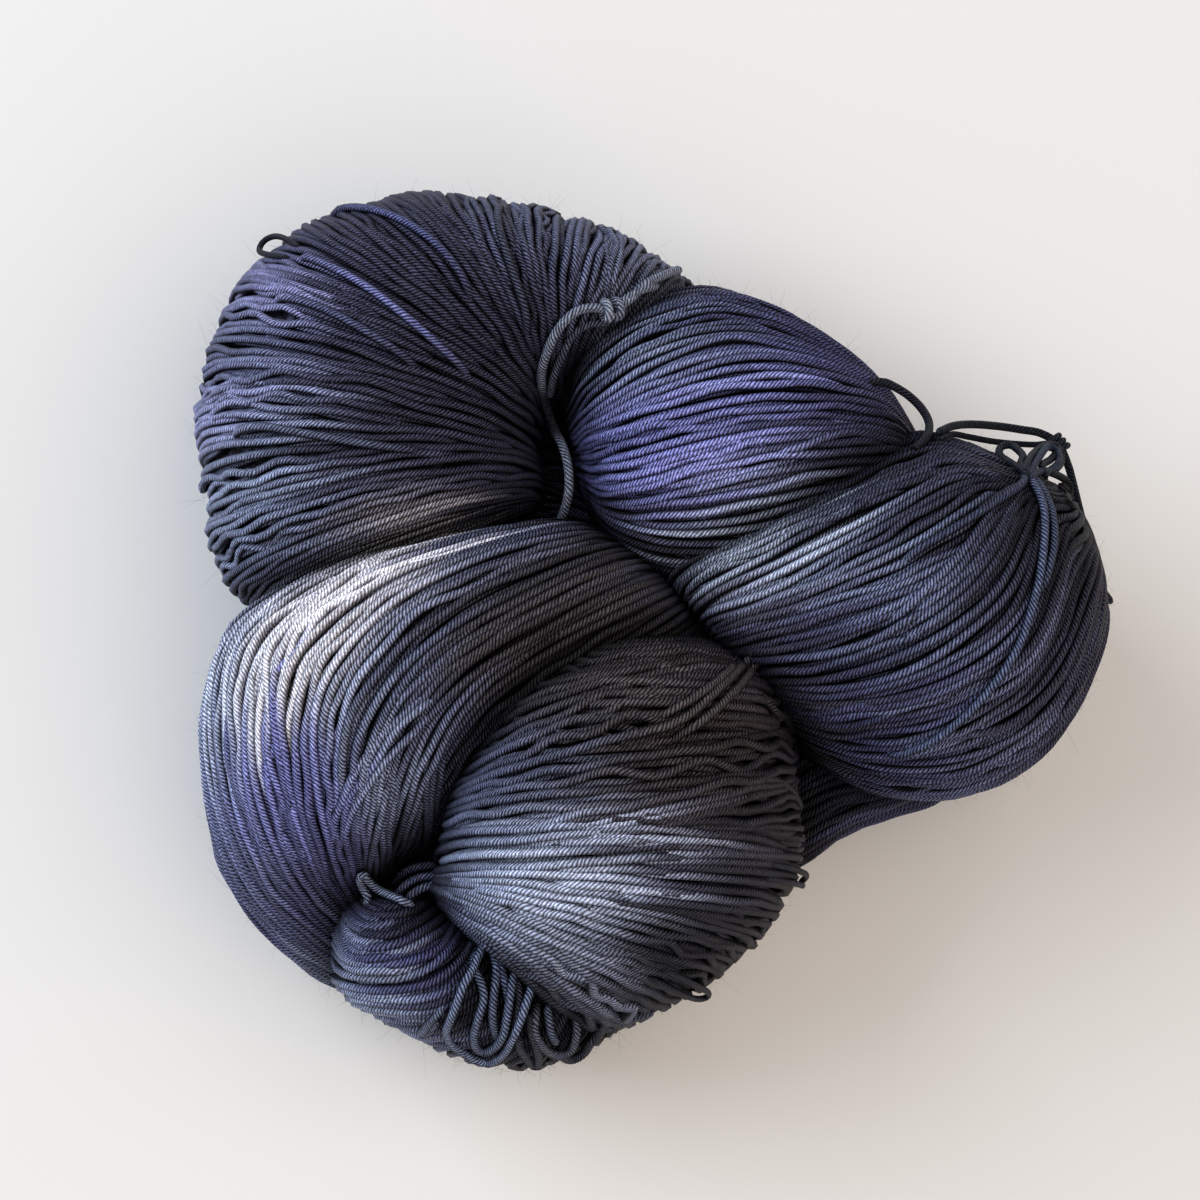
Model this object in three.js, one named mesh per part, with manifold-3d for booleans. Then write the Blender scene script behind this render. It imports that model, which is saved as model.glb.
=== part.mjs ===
// A skein of fine sock yarn: a 100 g hank, twisted on itself and tucked in, so that its windings
// bunch into fat lobes round two deep folds. The hank is one solid. The strands that tie it, and
// a slack strand of the winding, lie on it as cords with a small gap all round.
// Millimetres, +Z up. The origin is on the surface that the skein rests on, under its middle.

import * as THREE from "three";
import { mergeVertices } from "three/addons/utils/BufferGeometryUtils.js";
import Module from "manifold-3d";

// Driving dimensions
const YARN_DIAMETER = 1.5;
const TIE_DIAMETER = 1.6;
const GAP = 0.3; // clearance between a knot and the strand through it
const GROOVE_GAP = 0.33; // clearance between a cord and the groove it lies in
const RIB_DEPTH = 0.9; // depth of the groove between two bands of strands
const STEP = 3.2; // length of a cord between two rings of its points
const CUT_DEPTH = 20; // thickness of the block that flattens the underside
const MIDDLE = { x: 1.28, y: 0.8 }; // where the tables below have the middle of the hank

// Colours of the hand-dyed yarn
const INDIGO = 0x34354a;
const SLATE = 0x4a4f63;

// Each bundle of windings is a loft through the sections in its table. A row is one section:
// its left and right rims seen from above, the height of its middle, and half its thickness.
// Strands run along a bundle or around it, and its ribs follow them.
//   left x, left y, right x, right y, middle z, half height
const BUNDLES = {
  // The big lobe at the back left: windings round an arc, drawn together in the first fold
  backLeft: {
    lay: "around",
    points: 26,
    rings: 3,
    rows: [
      [-47.5, -0.5, -13.5, 19.5, 20, 12],
      [-59.5, 6.5, -13.5, 20.5, 24, 22],
      [-63, 19.5, -13.5, 23.5, 24.5, 25.5],
      [-64, 34, -14, 26, 24.5, 26.5],
      [-59.8, 47.6, -13.5, 29, 24.5, 26.5],
      [-50.5, 57.8, -13.5, 31, 24.5, 26],
      [-37.8, 62.6, -13, 32, 25, 25],
      [-26.4, 63.5, -12.5, 33, 25, 23.5],
      [-11.7, 61, -11.5, 33.5, 25, 21.5],
      [0.2, 56.7, -10, 35, 24, 19],
      [9.5, 51, -7.5, 36, 22, 14],
    ],
  },
  // The purple lobe at the back right, from the first fold to the right end
  backRight: {
    lay: "along",
    points: 32,
    rings: 2,
    ribs: 16,
    rows: [
      [-11.8, 36, -7.4, 17.5, 18, 12.5],
      [-8.5, 42.5, -2.5, 8.5, 24, 19],
      [-0.5, 48, 5.5, 3, 26, 23],
      [10.5, 50, 17, 1.5, 26, 24],
      [23, 45, 26.5, 4.5, 26, 23],
      [33, 37.5, 36, 10.5, 25, 19.5],
      [39, 29.5, 42, 13.5, 22, 12],
    ],
  },
  // The front left lobe, over the back left one and down into the second fold
  frontLeft: {
    lay: "along",
    points: 32,
    rings: 2,
    ribs: 16,
    rows: [
      [16, -2, -3, 15.5, 17, 9],
      [8.5, -7, -12.5, 15.5, 28, 20],
      [-3.5, -12.5, -28.5, 12.5, 31, 23.5],
      [-15.5, -18, -44, 8.5, 31, 24.5],
      [-24, -25, -58.5, -0.5, 29, 24],
      [-29.5, -30.5, -62.4, -15.3, 26, 22.5],
      [-33.5, -33.5, -60.6, -30.6, 22, 19],
      [-35.5, -36.5, -55.6, -41, 18, 15.5],
      [-34, -42, -46, -49.4, 15, 11],
      [-29.5, -46, -36, -53, 13, 7],
    ],
  },
  // The fan of windings that opens to the right from the second fold
  fan: {
    lay: "around",
    points: 26,
    rings: 3,
    rows: [
      [10, -2, -8, -1.5, 29, 12],
      [16, -5.5, -17.5, -8, 31, 24],
      [21, -12, -25, -19.5, 31.5, 30],
      [22.5, -22.5, -28.5, -28.5, 30.5, 32.2],
      [22.5, -32.5, -29.5, -33, 29.5, 31.2],
      [18.5, -41.5, -29.5, -35, 29, 29.5],
      [10, -49.5, -30, -36, 27, 26.5],
      [0, -55, -29.5, -37, 24, 23],
      [-8, -57, -29, -38, 20, 17],
    ],
  },
  // The end of the hank, pulled out of the second fold and turned under
  tuckedEnd: {
    lay: "around",
    points: 22,
    rings: 2,
    rows: [
      [-34, -36, -41, -36, 18, 6],
      [-31.5, -37, -44, -41, 19.5, 13.5],
      [-28.5, -36, -43, -50.5, 21, 19],
      [-27, -38, -34.5, -56.5, 20, 19.5],
      [-24.5, -39.5, -24.5, -61, 19, 19],
      [-20, -41.5, -14, -62, 18, 18],
      [-14.5, -42.5, -5.5, -58.5, 17, 15],
      [-8.5, -43.5, 0, -53.5, 16, 10],
    ],
  },
  // The front right lobe, drawn together at the tied end of the hank
  frontRight: {
    lay: "along",
    points: 32,
    rings: 2,
    ribs: 16,
    rows: [
      [7.5, 3.5, 14, -5.5, 15, 8],
      [1, 10.5, 22.5, -16.5, 26, 18],
      [13.5, 17.5, 32.5, -23, 28.5, 25],
      [27, 24, 45, -24, 28.5, 30],
      [38.5, 28.5, 57.5, -17.5, 28.5, 29.5],
      [48, 26.5, 65, -3.5, 28, 25],
      [53.5, 24.3, 64, 9, 27, 18],
      [55.5, 23.6, 59.6, 17.8, 27, 8],
    ],
  },
  // A low bundle that crosses under the two front lobes
  under: {
    lay: "along",
    points: 16,
    rings: 2,
    ribs: 8,
    rows: [
      [47.5, -18, 44, -11, 14, 4],
      [44, -23.5, 39, -10.5, 13, 9],
      [37, -26, 32, -10.5, 13, 11.5],
      [30.5, -28.5, 23.5, -11, 13, 12.5],
      [23.5, -33, 13, -16, 13, 12],
      [6, -42, 0, -20, 13, 12],
      [-16, -46, -18, -20, 13, 12],
      [-34, -42, -33, -24, 14, 10],
      [-45, -36, -44, -28, 17, 6],
    ],
  },
  // The windings in the middle of the hank, at the bottom of the folds
  middle: {
    lay: "along",
    points: 16,
    rings: 2,
    ribs: 8,
    rows: [
      [-29, 33, -29, -8, 13, 8],
      [-13, 38, -12, -18, 14, 10],
      [6, 30, 7, -22, 15, 12],
      [22, 24, 24, -18, 15, 10],
    ],
  },
};

// The routes of the loose strands: x, y, z
const TIE_UPPER_ROUTE = [
  [5.7, 51.3, 32.6], // the free end, over the crease between the two back lobes
  [3.2, 49.4, 36.6],
  [0.7, 47.5, 39.2],
  [-1.5, 45, 40.6],
  [-4.1, 43.2, 41.6],
  [-7, 43, 43.6],
  [-9.4, 42, 44.4],
  [-11.6, 39.8, 43.6],
  [-13.1, 37.2, 41.2],
  [-14, 34.8, 37.4],
  [-13.6, 32.6, 33.4], // down in the first fold
  [-12.9, 30.6, 32],
  [-12.2, 28.4, 32.4],
  [-11, 25.6, 33.8], // and along the end of the back right lobe
  [-10.2, 22.4, 34.4],
  [-10.1, 19.2, 33.8],
  [-10.7, 16.8, 31.6],
  [-11.6, 15.2, 28.6],
];
const UPPER_KNOT = 4; // the point of the route that the knot is on
const TIE_RIGHT_ROUTE = [
  [40.6, 25.2, 44.8],
  [43.1, 26.7, 41.8],
  [46.2, 27.5, 39],
  [49.9, 27.7, 36.8],
  [53.4, 27.5, 35.4],
  [56.4, 27.1, 34.6],
  [58.9, 25.6, 34],
  [60.2, 22.8, 33.8],
  [60.9, 19.8, 34],
  [61.5, 16.6, 34.4],
  [62.2, 13.4, 34.6],
  [63, 10.2, 34.6],
  [63.8, 7.2, 34.2],
  [64.8, 4.8, 33.4],
  [66.1, 3.4, 32.2], // the free end
];
const RIGHT_KNOT = 6;
const SLACK_ROUTE = [
  [15.6, 42.4, 43.6], // along the back right lobe
  [21.9, 39, 44.4],
  [27.2, 36.2, 43.8],
  [31.4, 34.2, 42],
  [34.4, 33, 40.4], // off the lobe, standing clear
  [37, 31.6, 39.8],
  [38.9, 29.6, 40.2],
  [39.8, 27.2, 41.6],
  [39.2, 24.8, 44],
  [37.2, 22.6, 46.4],
];

const wasm = await Module();
wasm.setup();

// A closed three.js geometry as a solid that can be joined and cut.
function toSolid(geometry) {
  const bare = geometry.clone();
  bare.deleteAttribute("normal");
  bare.deleteAttribute("uv");
  const merged = mergeVertices(bare, 1e-4);
  return new wasm.Manifold(
    new wasm.Mesh({
      numProp: 3,
      vertProperties: merged.attributes.position.array,
      triVerts: new Uint32Array(merged.index.array),
    }),
  );
}

function toGeometry(solid) {
  const mesh = solid.getMesh();
  const geometry = new THREE.BufferGeometry();
  geometry.setAttribute("position", new THREE.BufferAttribute(mesh.vertProperties, 3));
  geometry.setIndex(new THREE.BufferAttribute(mesh.triVerts, 1));
  geometry.computeVertexNormals();
  return geometry;
}

function smoothCurve(points) {
  return new THREE.CatmullRomCurve3(points, false, "catmullrom", 0.5);
}

// One bundle: rings of points on upright ellipses between the left and right rims, with shallow
// grooves between bands of strands, and a fan of triangles over each end.
function bundleGeometry({ lay, points, rings, ribs, rows }) {
  const left = smoothCurve(rows.map(([x, y, , , z]) => new THREE.Vector3(x, y, z)));
  const right = smoothCurve(rows.map(([, , x, y, z]) => new THREE.Vector3(x, y, z)));
  const thick = smoothCurve(rows.map(([, , , , , half]) => new THREE.Vector3(0, 0, half)));
  const last = (rows.length - 1) * rings;
  const positions = [];
  const centres = [];
  for (let ring = 0; ring <= last; ring++) {
    const t = ring / last;
    const centre = left.getPoint(t).add(right.getPoint(t)).multiplyScalar(0.5);
    const across = right.getPoint(t).sub(centre);
    const up = thick.getPoint(t);
    centres.push(centre);
    for (let point = 0; point < points; point++) {
      const angle = (point / points) * 2 * Math.PI;
      const offset = across.clone().multiplyScalar(Math.cos(angle));
      offset.addScaledVector(up, Math.sin(angle));
      const inGroove = lay === "along" ? Math.cos(angle * ribs) < 0 : ring % 2 === 1;
      if (inGroove) offset.setLength(offset.length() - RIB_DEPTH);
      positions.push(centre.clone().add(offset));
    }
  }
  const firstCap = positions.push(centres[0]) - 1;
  const lastCap = positions.push(centres[last]) - 1;
  const index = [];
  for (let point = 0; point < points; point++) {
    const next = (point + 1) % points;
    for (let ring = 0; ring < last; ring++) {
      const here = ring * points;
      const there = here + points;
      index.push(here + point, there + next, here + next);
      index.push(here + point, there + point, there + next);
    }
    index.push(firstCap, point, next);
    index.push(lastCap, last * points + next, last * points + point);
  }
  const geometry = new THREE.BufferGeometry().setFromPoints(positions);
  geometry.setIndex(index);
  return geometry;
}

// A round cord of a given diameter along a route.
function cordGeometry(route, diameter) {
  const path = smoothCurve(route.map(([x, y, z]) => new THREE.Vector3(x, y, z)));
  const section = new THREE.Shape();
  section.absarc(0, 0, diameter / 2, 0, 2 * Math.PI);
  const steps = Math.round(path.getLength() / STEP);
  const settings = { steps, bevelEnabled: false, curveSegments: 4, extrudePath: path };
  return new THREE.ExtrudeGeometry(section, settings);
}

// A knot: one turn of the strand round itself at a point of the route. Swell makes it fatter.
function knotGeometry(route, at, diameter, swell) {
  const turnRadius = diameter + GAP;
  const ring = new THREE.TorusGeometry(turnRadius, diameter / 2 + swell, 8, 18);
  const place = new THREE.Object3D();
  const [x, y, z] = route[at];
  const [nextX, nextY, nextZ] = route[at + 1];
  const [lastX, lastY, lastZ] = route[at - 1];
  const ahead = new THREE.Vector3(nextX - lastX, nextY - lastY, nextZ - lastZ).normalize();
  place.position.set(x, y, z);
  place.quaternion.setFromUnitVectors(new THREE.Vector3(0, 0, 1), ahead);
  place.updateMatrix();
  return ring.applyMatrix4(place.matrix);
}

// The hank: the bundles joined, cut flat where it rests, with a groove for each cord.
function hankGeometry() {
  const solids = Object.values(BUNDLES).map((bundle) => toSolid(bundleGeometry(bundle)));
  let hank = solids.reduce((joined, solid) => joined.add(solid));
  const floorBlock = new THREE.BoxGeometry(200, 200, CUT_DEPTH).translate(0, 0, -CUT_DEPTH / 2);
  hank = hank.subtract(toSolid(floorBlock));
  const hollows = [
    cordGeometry(TIE_UPPER_ROUTE, TIE_DIAMETER + 2 * GROOVE_GAP),
    cordGeometry(TIE_RIGHT_ROUTE, TIE_DIAMETER + 2 * GROOVE_GAP),
    cordGeometry(SLACK_ROUTE, YARN_DIAMETER + 2 * GROOVE_GAP),
    knotGeometry(TIE_UPPER_ROUTE, UPPER_KNOT, TIE_DIAMETER, GROOVE_GAP),
    knotGeometry(TIE_RIGHT_ROUTE, RIGHT_KNOT, TIE_DIAMETER, GROOVE_GAP),
  ];
  for (const hollow of hollows) hank = hank.subtract(toSolid(hollow));
  return toGeometry(hank);
}

function addPiece(group, name, geometry, colour) {
  const material = new THREE.MeshStandardMaterial({ color: colour, roughness: 0.85, metalness: 0 });
  const mesh = new THREE.Mesh(geometry, material);
  mesh.name = name;
  group.add(mesh);
}

const skein = new THREE.Group();
skein.position.set(-MIDDLE.x, -MIDDLE.y, 0);
addPiece(skein, "skein", hankGeometry(), INDIGO);
addPiece(skein, "tie_upper", cordGeometry(TIE_UPPER_ROUTE, TIE_DIAMETER), SLATE);
addPiece(skein, "knot_upper", knotGeometry(TIE_UPPER_ROUTE, UPPER_KNOT, TIE_DIAMETER, 0), SLATE);
addPiece(skein, "tie_right", cordGeometry(TIE_RIGHT_ROUTE, TIE_DIAMETER), SLATE);
addPiece(skein, "knot_right", knotGeometry(TIE_RIGHT_ROUTE, RIGHT_KNOT, TIE_DIAMETER, 0), SLATE);
addPiece(skein, "slack_strand", cordGeometry(SLACK_ROUTE, YARN_DIAMETER), INDIGO);

export default skein;
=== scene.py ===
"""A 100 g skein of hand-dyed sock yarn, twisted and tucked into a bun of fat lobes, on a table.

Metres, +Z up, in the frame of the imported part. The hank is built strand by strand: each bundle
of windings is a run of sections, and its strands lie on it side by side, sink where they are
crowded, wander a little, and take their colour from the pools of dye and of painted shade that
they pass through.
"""

import math

import bpy
import numpy as np
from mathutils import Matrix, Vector
from mathutils.bvhtree import BVHTree


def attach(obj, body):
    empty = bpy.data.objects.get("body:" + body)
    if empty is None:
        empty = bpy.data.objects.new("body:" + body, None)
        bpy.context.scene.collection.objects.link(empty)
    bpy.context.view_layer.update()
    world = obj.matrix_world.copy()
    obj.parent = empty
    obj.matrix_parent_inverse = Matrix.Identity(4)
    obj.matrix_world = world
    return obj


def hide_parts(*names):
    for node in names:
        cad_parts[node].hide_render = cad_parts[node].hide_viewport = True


bl_info = {
    "name": "Skein of sock yarn",
    "version": (1, 0, 0),
    "blender": (4, 5, 0),
    "location": "3D View > Sidebar > Skein",
    "description": "Builds a twisted skein of hand-dyed sock yarn, strand by strand",
    "category": "Add Mesh",
}

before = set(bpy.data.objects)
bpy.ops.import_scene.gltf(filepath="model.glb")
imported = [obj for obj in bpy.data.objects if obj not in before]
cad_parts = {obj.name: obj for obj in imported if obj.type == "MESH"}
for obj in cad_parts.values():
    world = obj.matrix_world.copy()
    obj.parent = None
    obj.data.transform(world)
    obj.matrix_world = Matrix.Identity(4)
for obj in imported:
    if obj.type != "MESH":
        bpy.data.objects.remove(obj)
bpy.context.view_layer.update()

MM = 0.001
TURN = 2 * math.pi

# in millimetres
MIDDLE = np.array([1.28, 0.80, 0.0])  # where the bundles' tables have the middle of the hank
LEAST_REACH, LEAST_SUNK_REACH = 0.5, 0.4  # least distance from a bundle's middle, lifted or not
LEAST_GAP = 0.05  # least distance that counts between neighbouring strands
OUTER_DEPTH, INNER_DEPTH = 0.35, 0.85  # the outer strands below the bundle, the inner below them
CORE_DEPTH, CORE_HEIGHT = 2.5, 1.2  # the inner windings below the bundle and above the table
LOOSE_STEP = 0.6  # length between two rings of points of a loose strand
SLACK_SUNK, SLACK_HIDDEN, SLACK_COMES_UP = 2.4, 17, 5  # its hidden start: depth, length, way up
LOOP_RISE = 0.3  # the middles of the right knot's loops above the windings
PATTERN_LENGTH = 40  # the plies of the strands start anywhere in this length
FIBRE_RADIUS, FIBRE_LENGTHS = 0.015, (0.6, 2.0)
FIBRE_ROOT, FIBRE_LOWEST = -0.4, 0.05  # their roots in the bundle, and how near the table they go
AIM_LEFT, AIM_ABOVE, AIM_HEIGHT = 40 / 7, 33 / 7, 25  # the camera's aim, from the hank's middle

# as shares
GOLDEN = 0.618  # the golden section, which spreads numbers evenly
INNER_PITCH, INNER_STEP = 1.12, 1.7  # the inner layer's pitch and step, of the outer layer's
# painted shade: the inner layer and the core are darker than the dye; strays and fibres lighter
INNER_SHADE, STRAY_SHADE, CORE_SHADE, FIBRE_SHADE = 0.8, 1.05, 0.25, 1.3  # of the dye's colour
RIGHT_TIE = 0.85  # the right tie's thickness, of the upper tie's
TIP = 0.62  # the thickness of a loose strand's tip, of the strand's
END_TURN_SIZE = 1.06  # the turned ends' thickness, of the other strands'

FIBRE_OUT, FIBRE_SIDEWAYS, FIBRE_BEND = 0.55, 0.45, 0.65  # of a fibre's length
FIBRE_TAPER = 0.6  # of a fibre's radius

FIBRES, FIBRE_POINTS = 700, 6  # fibres on each bundle, and points of each
UNSEEN = ("middle", "under")  # bundles with no fibres on them

# Bundles of windings, as in the part's source. A row is one section, in millimetres: its left
# and right rims seen from above, the height of its middle, and half its thickness. Strands run
# along a bundle or around it; one that runs around starts at its seam, which lies in a fold.
# lay: which way the strands run; seam and crown: angles of the seam, and of the line on which
# the strands are counted; twist: angle that they go round on their way along; swirl: how far
# they turn in at the tucked end; curl: how freely they curl; strays: share of them that cross
# over others, by up to so many strands as cross says; yarn: their thickness, of the setting's;
# open: how much coarser they get towards the far end; pinch: where they gather, as place, angle,
# strength, reach along and width in angle
# columns: left x, left y, right x, right y, middle z, half height
BUNDLES = {
    "back_left": {
        "lay": "around", "seam": 0.0, "crown": 0.92 * math.pi, "curl": 0.6, "strays": 0.40,
        "cross": 6,
        "rows": [
            (-47.5, -0.5, -13.5, 19.5, 20, 12), (-59.5, 6.5, -13.5, 20.5, 24, 22),
            (-63, 19.5, -13.5, 23.5, 24.5, 25.5), (-64, 34, -14, 26, 24.5, 26.5),
            (-59.8, 47.6, -13.5, 29, 24.5, 26.5), (-50.5, 57.8, -13.5, 31, 24.5, 26),
            (-37.8, 62.6, -13, 32, 25, 25), (-26.4, 63.5, -12.5, 33, 25, 23.5),
            (-11.7, 61, -11.5, 33.5, 25, 21.5), (0.2, 56.7, -10, 35, 24, 19),
            (9.5, 51, -7.5, 36, 22, 14),
        ],
    },
    "back_right": {
        "lay": "along", "twist": 0.6, "curl": 0.35, "yarn": 1.04,
        "rows": [
            (-11.8, 36, -7.4, 17.5, 18, 12.5), (-8.5, 42.5, -2.5, 8.5, 24, 19),
            (-0.5, 48, 5.5, 3, 26, 23), (10.5, 50, 17, 1.5, 26, 24), (23, 45, 26.5, 4.5, 26, 23),
            (33, 37.5, 36, 10.5, 25, 19.5), (39, 29.5, 42, 13.5, 22, 12),
        ],
    },
    "front_left": {
        "lay": "along", "twist": 1.9, "curl": 0.45, "strays": 0.6, "cross": 15, "yarn": 1.10,
        "rows": [
            (16, -2, -3, 15.5, 17, 9), (8.5, -7, -12.5, 15.5, 28, 20),
            (-3.5, -12.5, -28.5, 12.5, 31, 23.5), (-15.5, -18, -44, 8.5, 31, 24.5),
            (-24, -25, -58.5, -0.5, 29, 24), (-29.5, -30.5, -62.4, -15.3, 26, 22.5),
            (-33.5, -33.5, -60.6, -30.6, 22, 19), (-35.5, -36.5, -55.6, -41, 18, 15.5),
            (-34, -42, -46, -49.4, 15, 11), (-29.5, -46, -36, -53, 13, 7),
        ],
    },
    "fan": {
        "lay": "around", "seam": 0.0, "crown": 0.92 * math.pi, "curl": 0.7, "strays": 0.5,
        "cross": 8, "yarn": 1.12, "open": 0.45,
        "rows": [
            (10, -2, -8, -1.5, 29, 12), (16, -5.5, -17.5, -8, 31, 24),
            (21, -12, -25, -19.5, 31.5, 30), (22.5, -22.5, -28.5, -28.5, 30.5, 32.2),
            (22.5, -32.5, -29.5, -33, 29.5, 31.2), (18.5, -41.5, -29.5, -35, 29, 29.5),
            (10, -49.5, -30, -36, 27, 26.5), (0, -55, -29.5, -37, 24, 23),
            (-8, -57, -29, -38, 20, 17),
        ],
    },
    "tucked_end": {
        "lay": "around", "seam": math.pi, "crown": 0.1 * math.pi, "curl": 0.5, "swirl": 0.38,
        "strays": 0.35, "cross": 5, "yarn": 1.24,
        "rows": [
            (-34, -36, -41, -36, 18, 6), (-31.5, -37, -44, -41, 19.5, 13.5),
            (-28.5, -36, -43, -50.5, 21, 19), (-27, -38, -34.5, -56.5, 20, 19.5),
            (-24.5, -39.5, -24.5, -61, 19, 19), (-20, -41.5, -14, -62, 18, 18),
            (-14.5, -42.5, -5.5, -58.5, 17, 15), (-8.5, -43.5, 0, -53.5, 16, 10),
        ],
    },
    "front_right": {
        "lay": "along", "twist": 0.6, "curl": 0.4, "strays": 0.35, "cross": 6, "yarn": 1.06,
        "pinch": (0.70, 0.648 * math.pi, 0.72, 0.10, 1.0),
        "rows": [
            (7.5, 3.5, 14, -5.5, 15, 8), (1, 10.5, 22.5, -16.5, 26, 18),
            (13.5, 17.5, 32.5, -23, 28.5, 25), (27, 24, 45, -24, 28.5, 30),
            (38.5, 28.2, 57.5, -17.5, 28.5, 29.5), (47.5, 25.0, 65, -3.5, 28, 25),
            (52.8, 22.4, 64, 9, 27, 18), (54.4, 21.7, 59.6, 17.8, 27, 8),
        ],
    },
    "under": {
        "lay": "along",
        "rows": [
            (47.5, -18, 44, -11, 14, 4), (44, -23.5, 39, -10.5, 13, 9),
            (37, -26, 32, -10.5, 13, 11.5), (30.5, -28.5, 23.5, -11, 13, 12.5),
            (23.5, -33, 13, -16, 13, 12), (6, -42, 0, -20, 13, 12), (-16, -46, -18, -20, 13, 12),
            (-34, -42, -33, -24, 14, 10), (-45, -36, -44, -28, 17, 6),
        ],
    },
    "middle": {
        "lay": "along",
        "rows": [
            (-29, 33, -29, -8, 13, 8), (-13, 38, -12, -18, 14, 10), (6, 30, 7, -22, 15, 12),
            (22, 24, 24, -18, 15, 10),
        ],
    },
}

# Acid dyes on an undyed base, as sRGB colours of the lit crown of a strand
DYES = {
    "bare": "#c3c2cb", "ice": "#949cb0", "steel": "#737c93", "slate": "#545a72",
    "lavender": "#7e7fa6", "violet": "#6c6fa4", "indigo": "#4b4f7b", "navy": "#363855",
    "ink": "#2f303f", "soot": "#363234", "pitch": "#1a1a22",
}
FIRST_BATH = ("navy", 0.16)  # the dye that all of it took up, and its weight

# Where the hank lay in each dye, seen from above once it is wound up. The rest of it is navy.
# Some ink and pitch pools, in the folds and on the shaded right sides of the lobes, are painted
# shade as well as dye.
# columns: x, y and reach in millimetres, weight, dye
DYE_AND_SHADE_POOLS = [
    # the back left lobe: ink and navy, slate at its left side
    (-56, 19, 9, 1.5, "steel"), (-60, 27, 7, 0.9, "lavender"), (-50, 10, 8, 0.8, "slate"),
    (-56, 36, 7, 0.9, "slate"), (-52, 43, 6, 0.7, "lavender"), (-36, 24, 11, 1.0, "ink"),
    (-20, 30, 13, 1.6, "ink"), (-33, 53, 12, 1.0, "ink"), (-18, 55, 8, 0.8, "slate"),
    (-4, 54, 8, 0.9, "slate"), (2, 50, 5, 0.8, "steel"),
    # the back right lobe: violet, dark along its far side
    (-2, 37, 6, 1.6, "steel"), (6, 37, 8, 2.2, "slate"), (5, 27, 6, 1.5, "violet"),
    (-3, 23, 6, 1.4, "violet"), (15, 28, 7, 1.3, "violet"), (12, 43, 7, 1.4, "navy"),
    (23, 38, 7, 1.4, "navy"), (31, 31, 8, 1.2, "navy"), (4, 18, 6, 2.2, "violet"),
    (12, 20, 5, 1.8, "violet"),
    # the front right lobe: steel, then ink, then slate; the pitch on its right side is also
    # painted shade
    (14, 10, 7.5, 2.8, "ice"), (17, 8, 6, 1.6, "ice"), (3, 7, 6, 1.0, "slate"),
    (25, 17, 8, 1.1, "ink"), (38, 20, 10, 1.3, "ink"), (34, 12, 6, 1.0, "ink"),
    (45, 7, 5, 1.4, "ink"), (29, 7, 6, 0.9, "steel"), (40, 3, 9, 1.2, "slate"),
    (31, 0, 8, 0.7, "slate"), (17, -4, 8, 1.0, "navy"), (56, 10, 10, 3.0, "pitch"),
    (57, -8, 9, 2.0, "ink"), (42, -16, 8, 0.8, "slate"), (27, -18, 8, 1.0, "navy"),
    # the front left lobe: a stretch that took no dye, between steel and indigo
    (-44, -2, 6, 2.8, "bare"), (-36, 6, 5.5, 2.2, "bare"), (-29, 11, 4.5, 1.2, "bare"),
    (-50, -9, 6, 2.2, "bare"), (-58, -10, 6, 1.8, "ice"), (-59, -19, 6, 0.8, "steel"),
    (-26, 5, 6, 1.1, "slate"), (-16, 10, 6, 1.0, "slate"), (-6, 7, 8, 1.2, "soot"),
    (-50, -24, 7, 1.8, "violet"), (-45, -28, 6, 1.0, "indigo"), (-41, -14, 6, 1.0, "steel"),
    (-32, -8, 8, 1.6, "slate"), (-36, -24, 7, 1.0, "steel"), (-20, -3, 8, 1.2, "soot"),
    (-55, -33, 8, 0.8, "slate"), (-47, -40, 8, 1.0, "navy"),
    # the fan: undyed black wool showing brown above, steel below; the ink and pitch on its lower
    # right are also painted shade
    (-4, -11, 13, 2.0, "soot"), (12, -16, 11, 1.6, "soot"), (-15, -24, 8, 1.0, "slate"),
    (-12, -38, 8, 2.0, "ice"), (-22, -36, 6, 1.2, "steel"), (0, -39, 6, 0.7, "steel"),
    (-8, -47, 7, 1.4, "steel"), (10, -30, 7, 1.3, "soot"), (8, -36, 6, 3.6, "ink"),
    (4, -48, 7, 3.4, "pitch"), (18, -32, 8, 3.4, "pitch"), (14, -43, 8, 3.4, "pitch"),
    (20, -22, 6, 1.0, "pitch"),
    # the tucked end: slate and steel
    (-33, -36, 5, 2.4, "pitch"), (-34, -41, 5, 1.4, "ink"), (-43, -46, 5, 1.6, "steel"),
    (-39, -51, 5, 0.8, "steel"), (-31, -47, 5, 0.9, "indigo"), (-36, -54, 5, 0.8, "steel"),
    (-28, -57, 5, 0.8, "slate"), (-17, -56, 8, 2.2, "pitch"), (-22, -53, 4.5, 2.4, "pitch"),
]

# Routes of the loose strands, as in the part's source: x, y, z in metres, in the tables' frame
TIE_UPPER_ROUTE = [
    (0.0057, 0.0513, 0.0326), (0.0032, 0.0494, 0.0366), (0.0007, 0.0475, 0.0392),
    (-0.0015, 0.0450, 0.0406), (-0.0041, 0.0432, 0.0416), (-0.0070, 0.0430, 0.0436),
    (-0.0094, 0.0420, 0.0444), (-0.0116, 0.0398, 0.0436), (-0.0131, 0.0372, 0.0412),
    (-0.0140, 0.0348, 0.0374), (-0.0136, 0.0326, 0.0334), (-0.0129, 0.0306, 0.0320),
    (-0.0122, 0.0284, 0.0324), (-0.0110, 0.0256, 0.0338), (-0.0102, 0.0224, 0.0344),
    (-0.0101, 0.0192, 0.0338), (-0.0107, 0.0168, 0.0316), (-0.0116, 0.0152, 0.0286),
]
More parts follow.
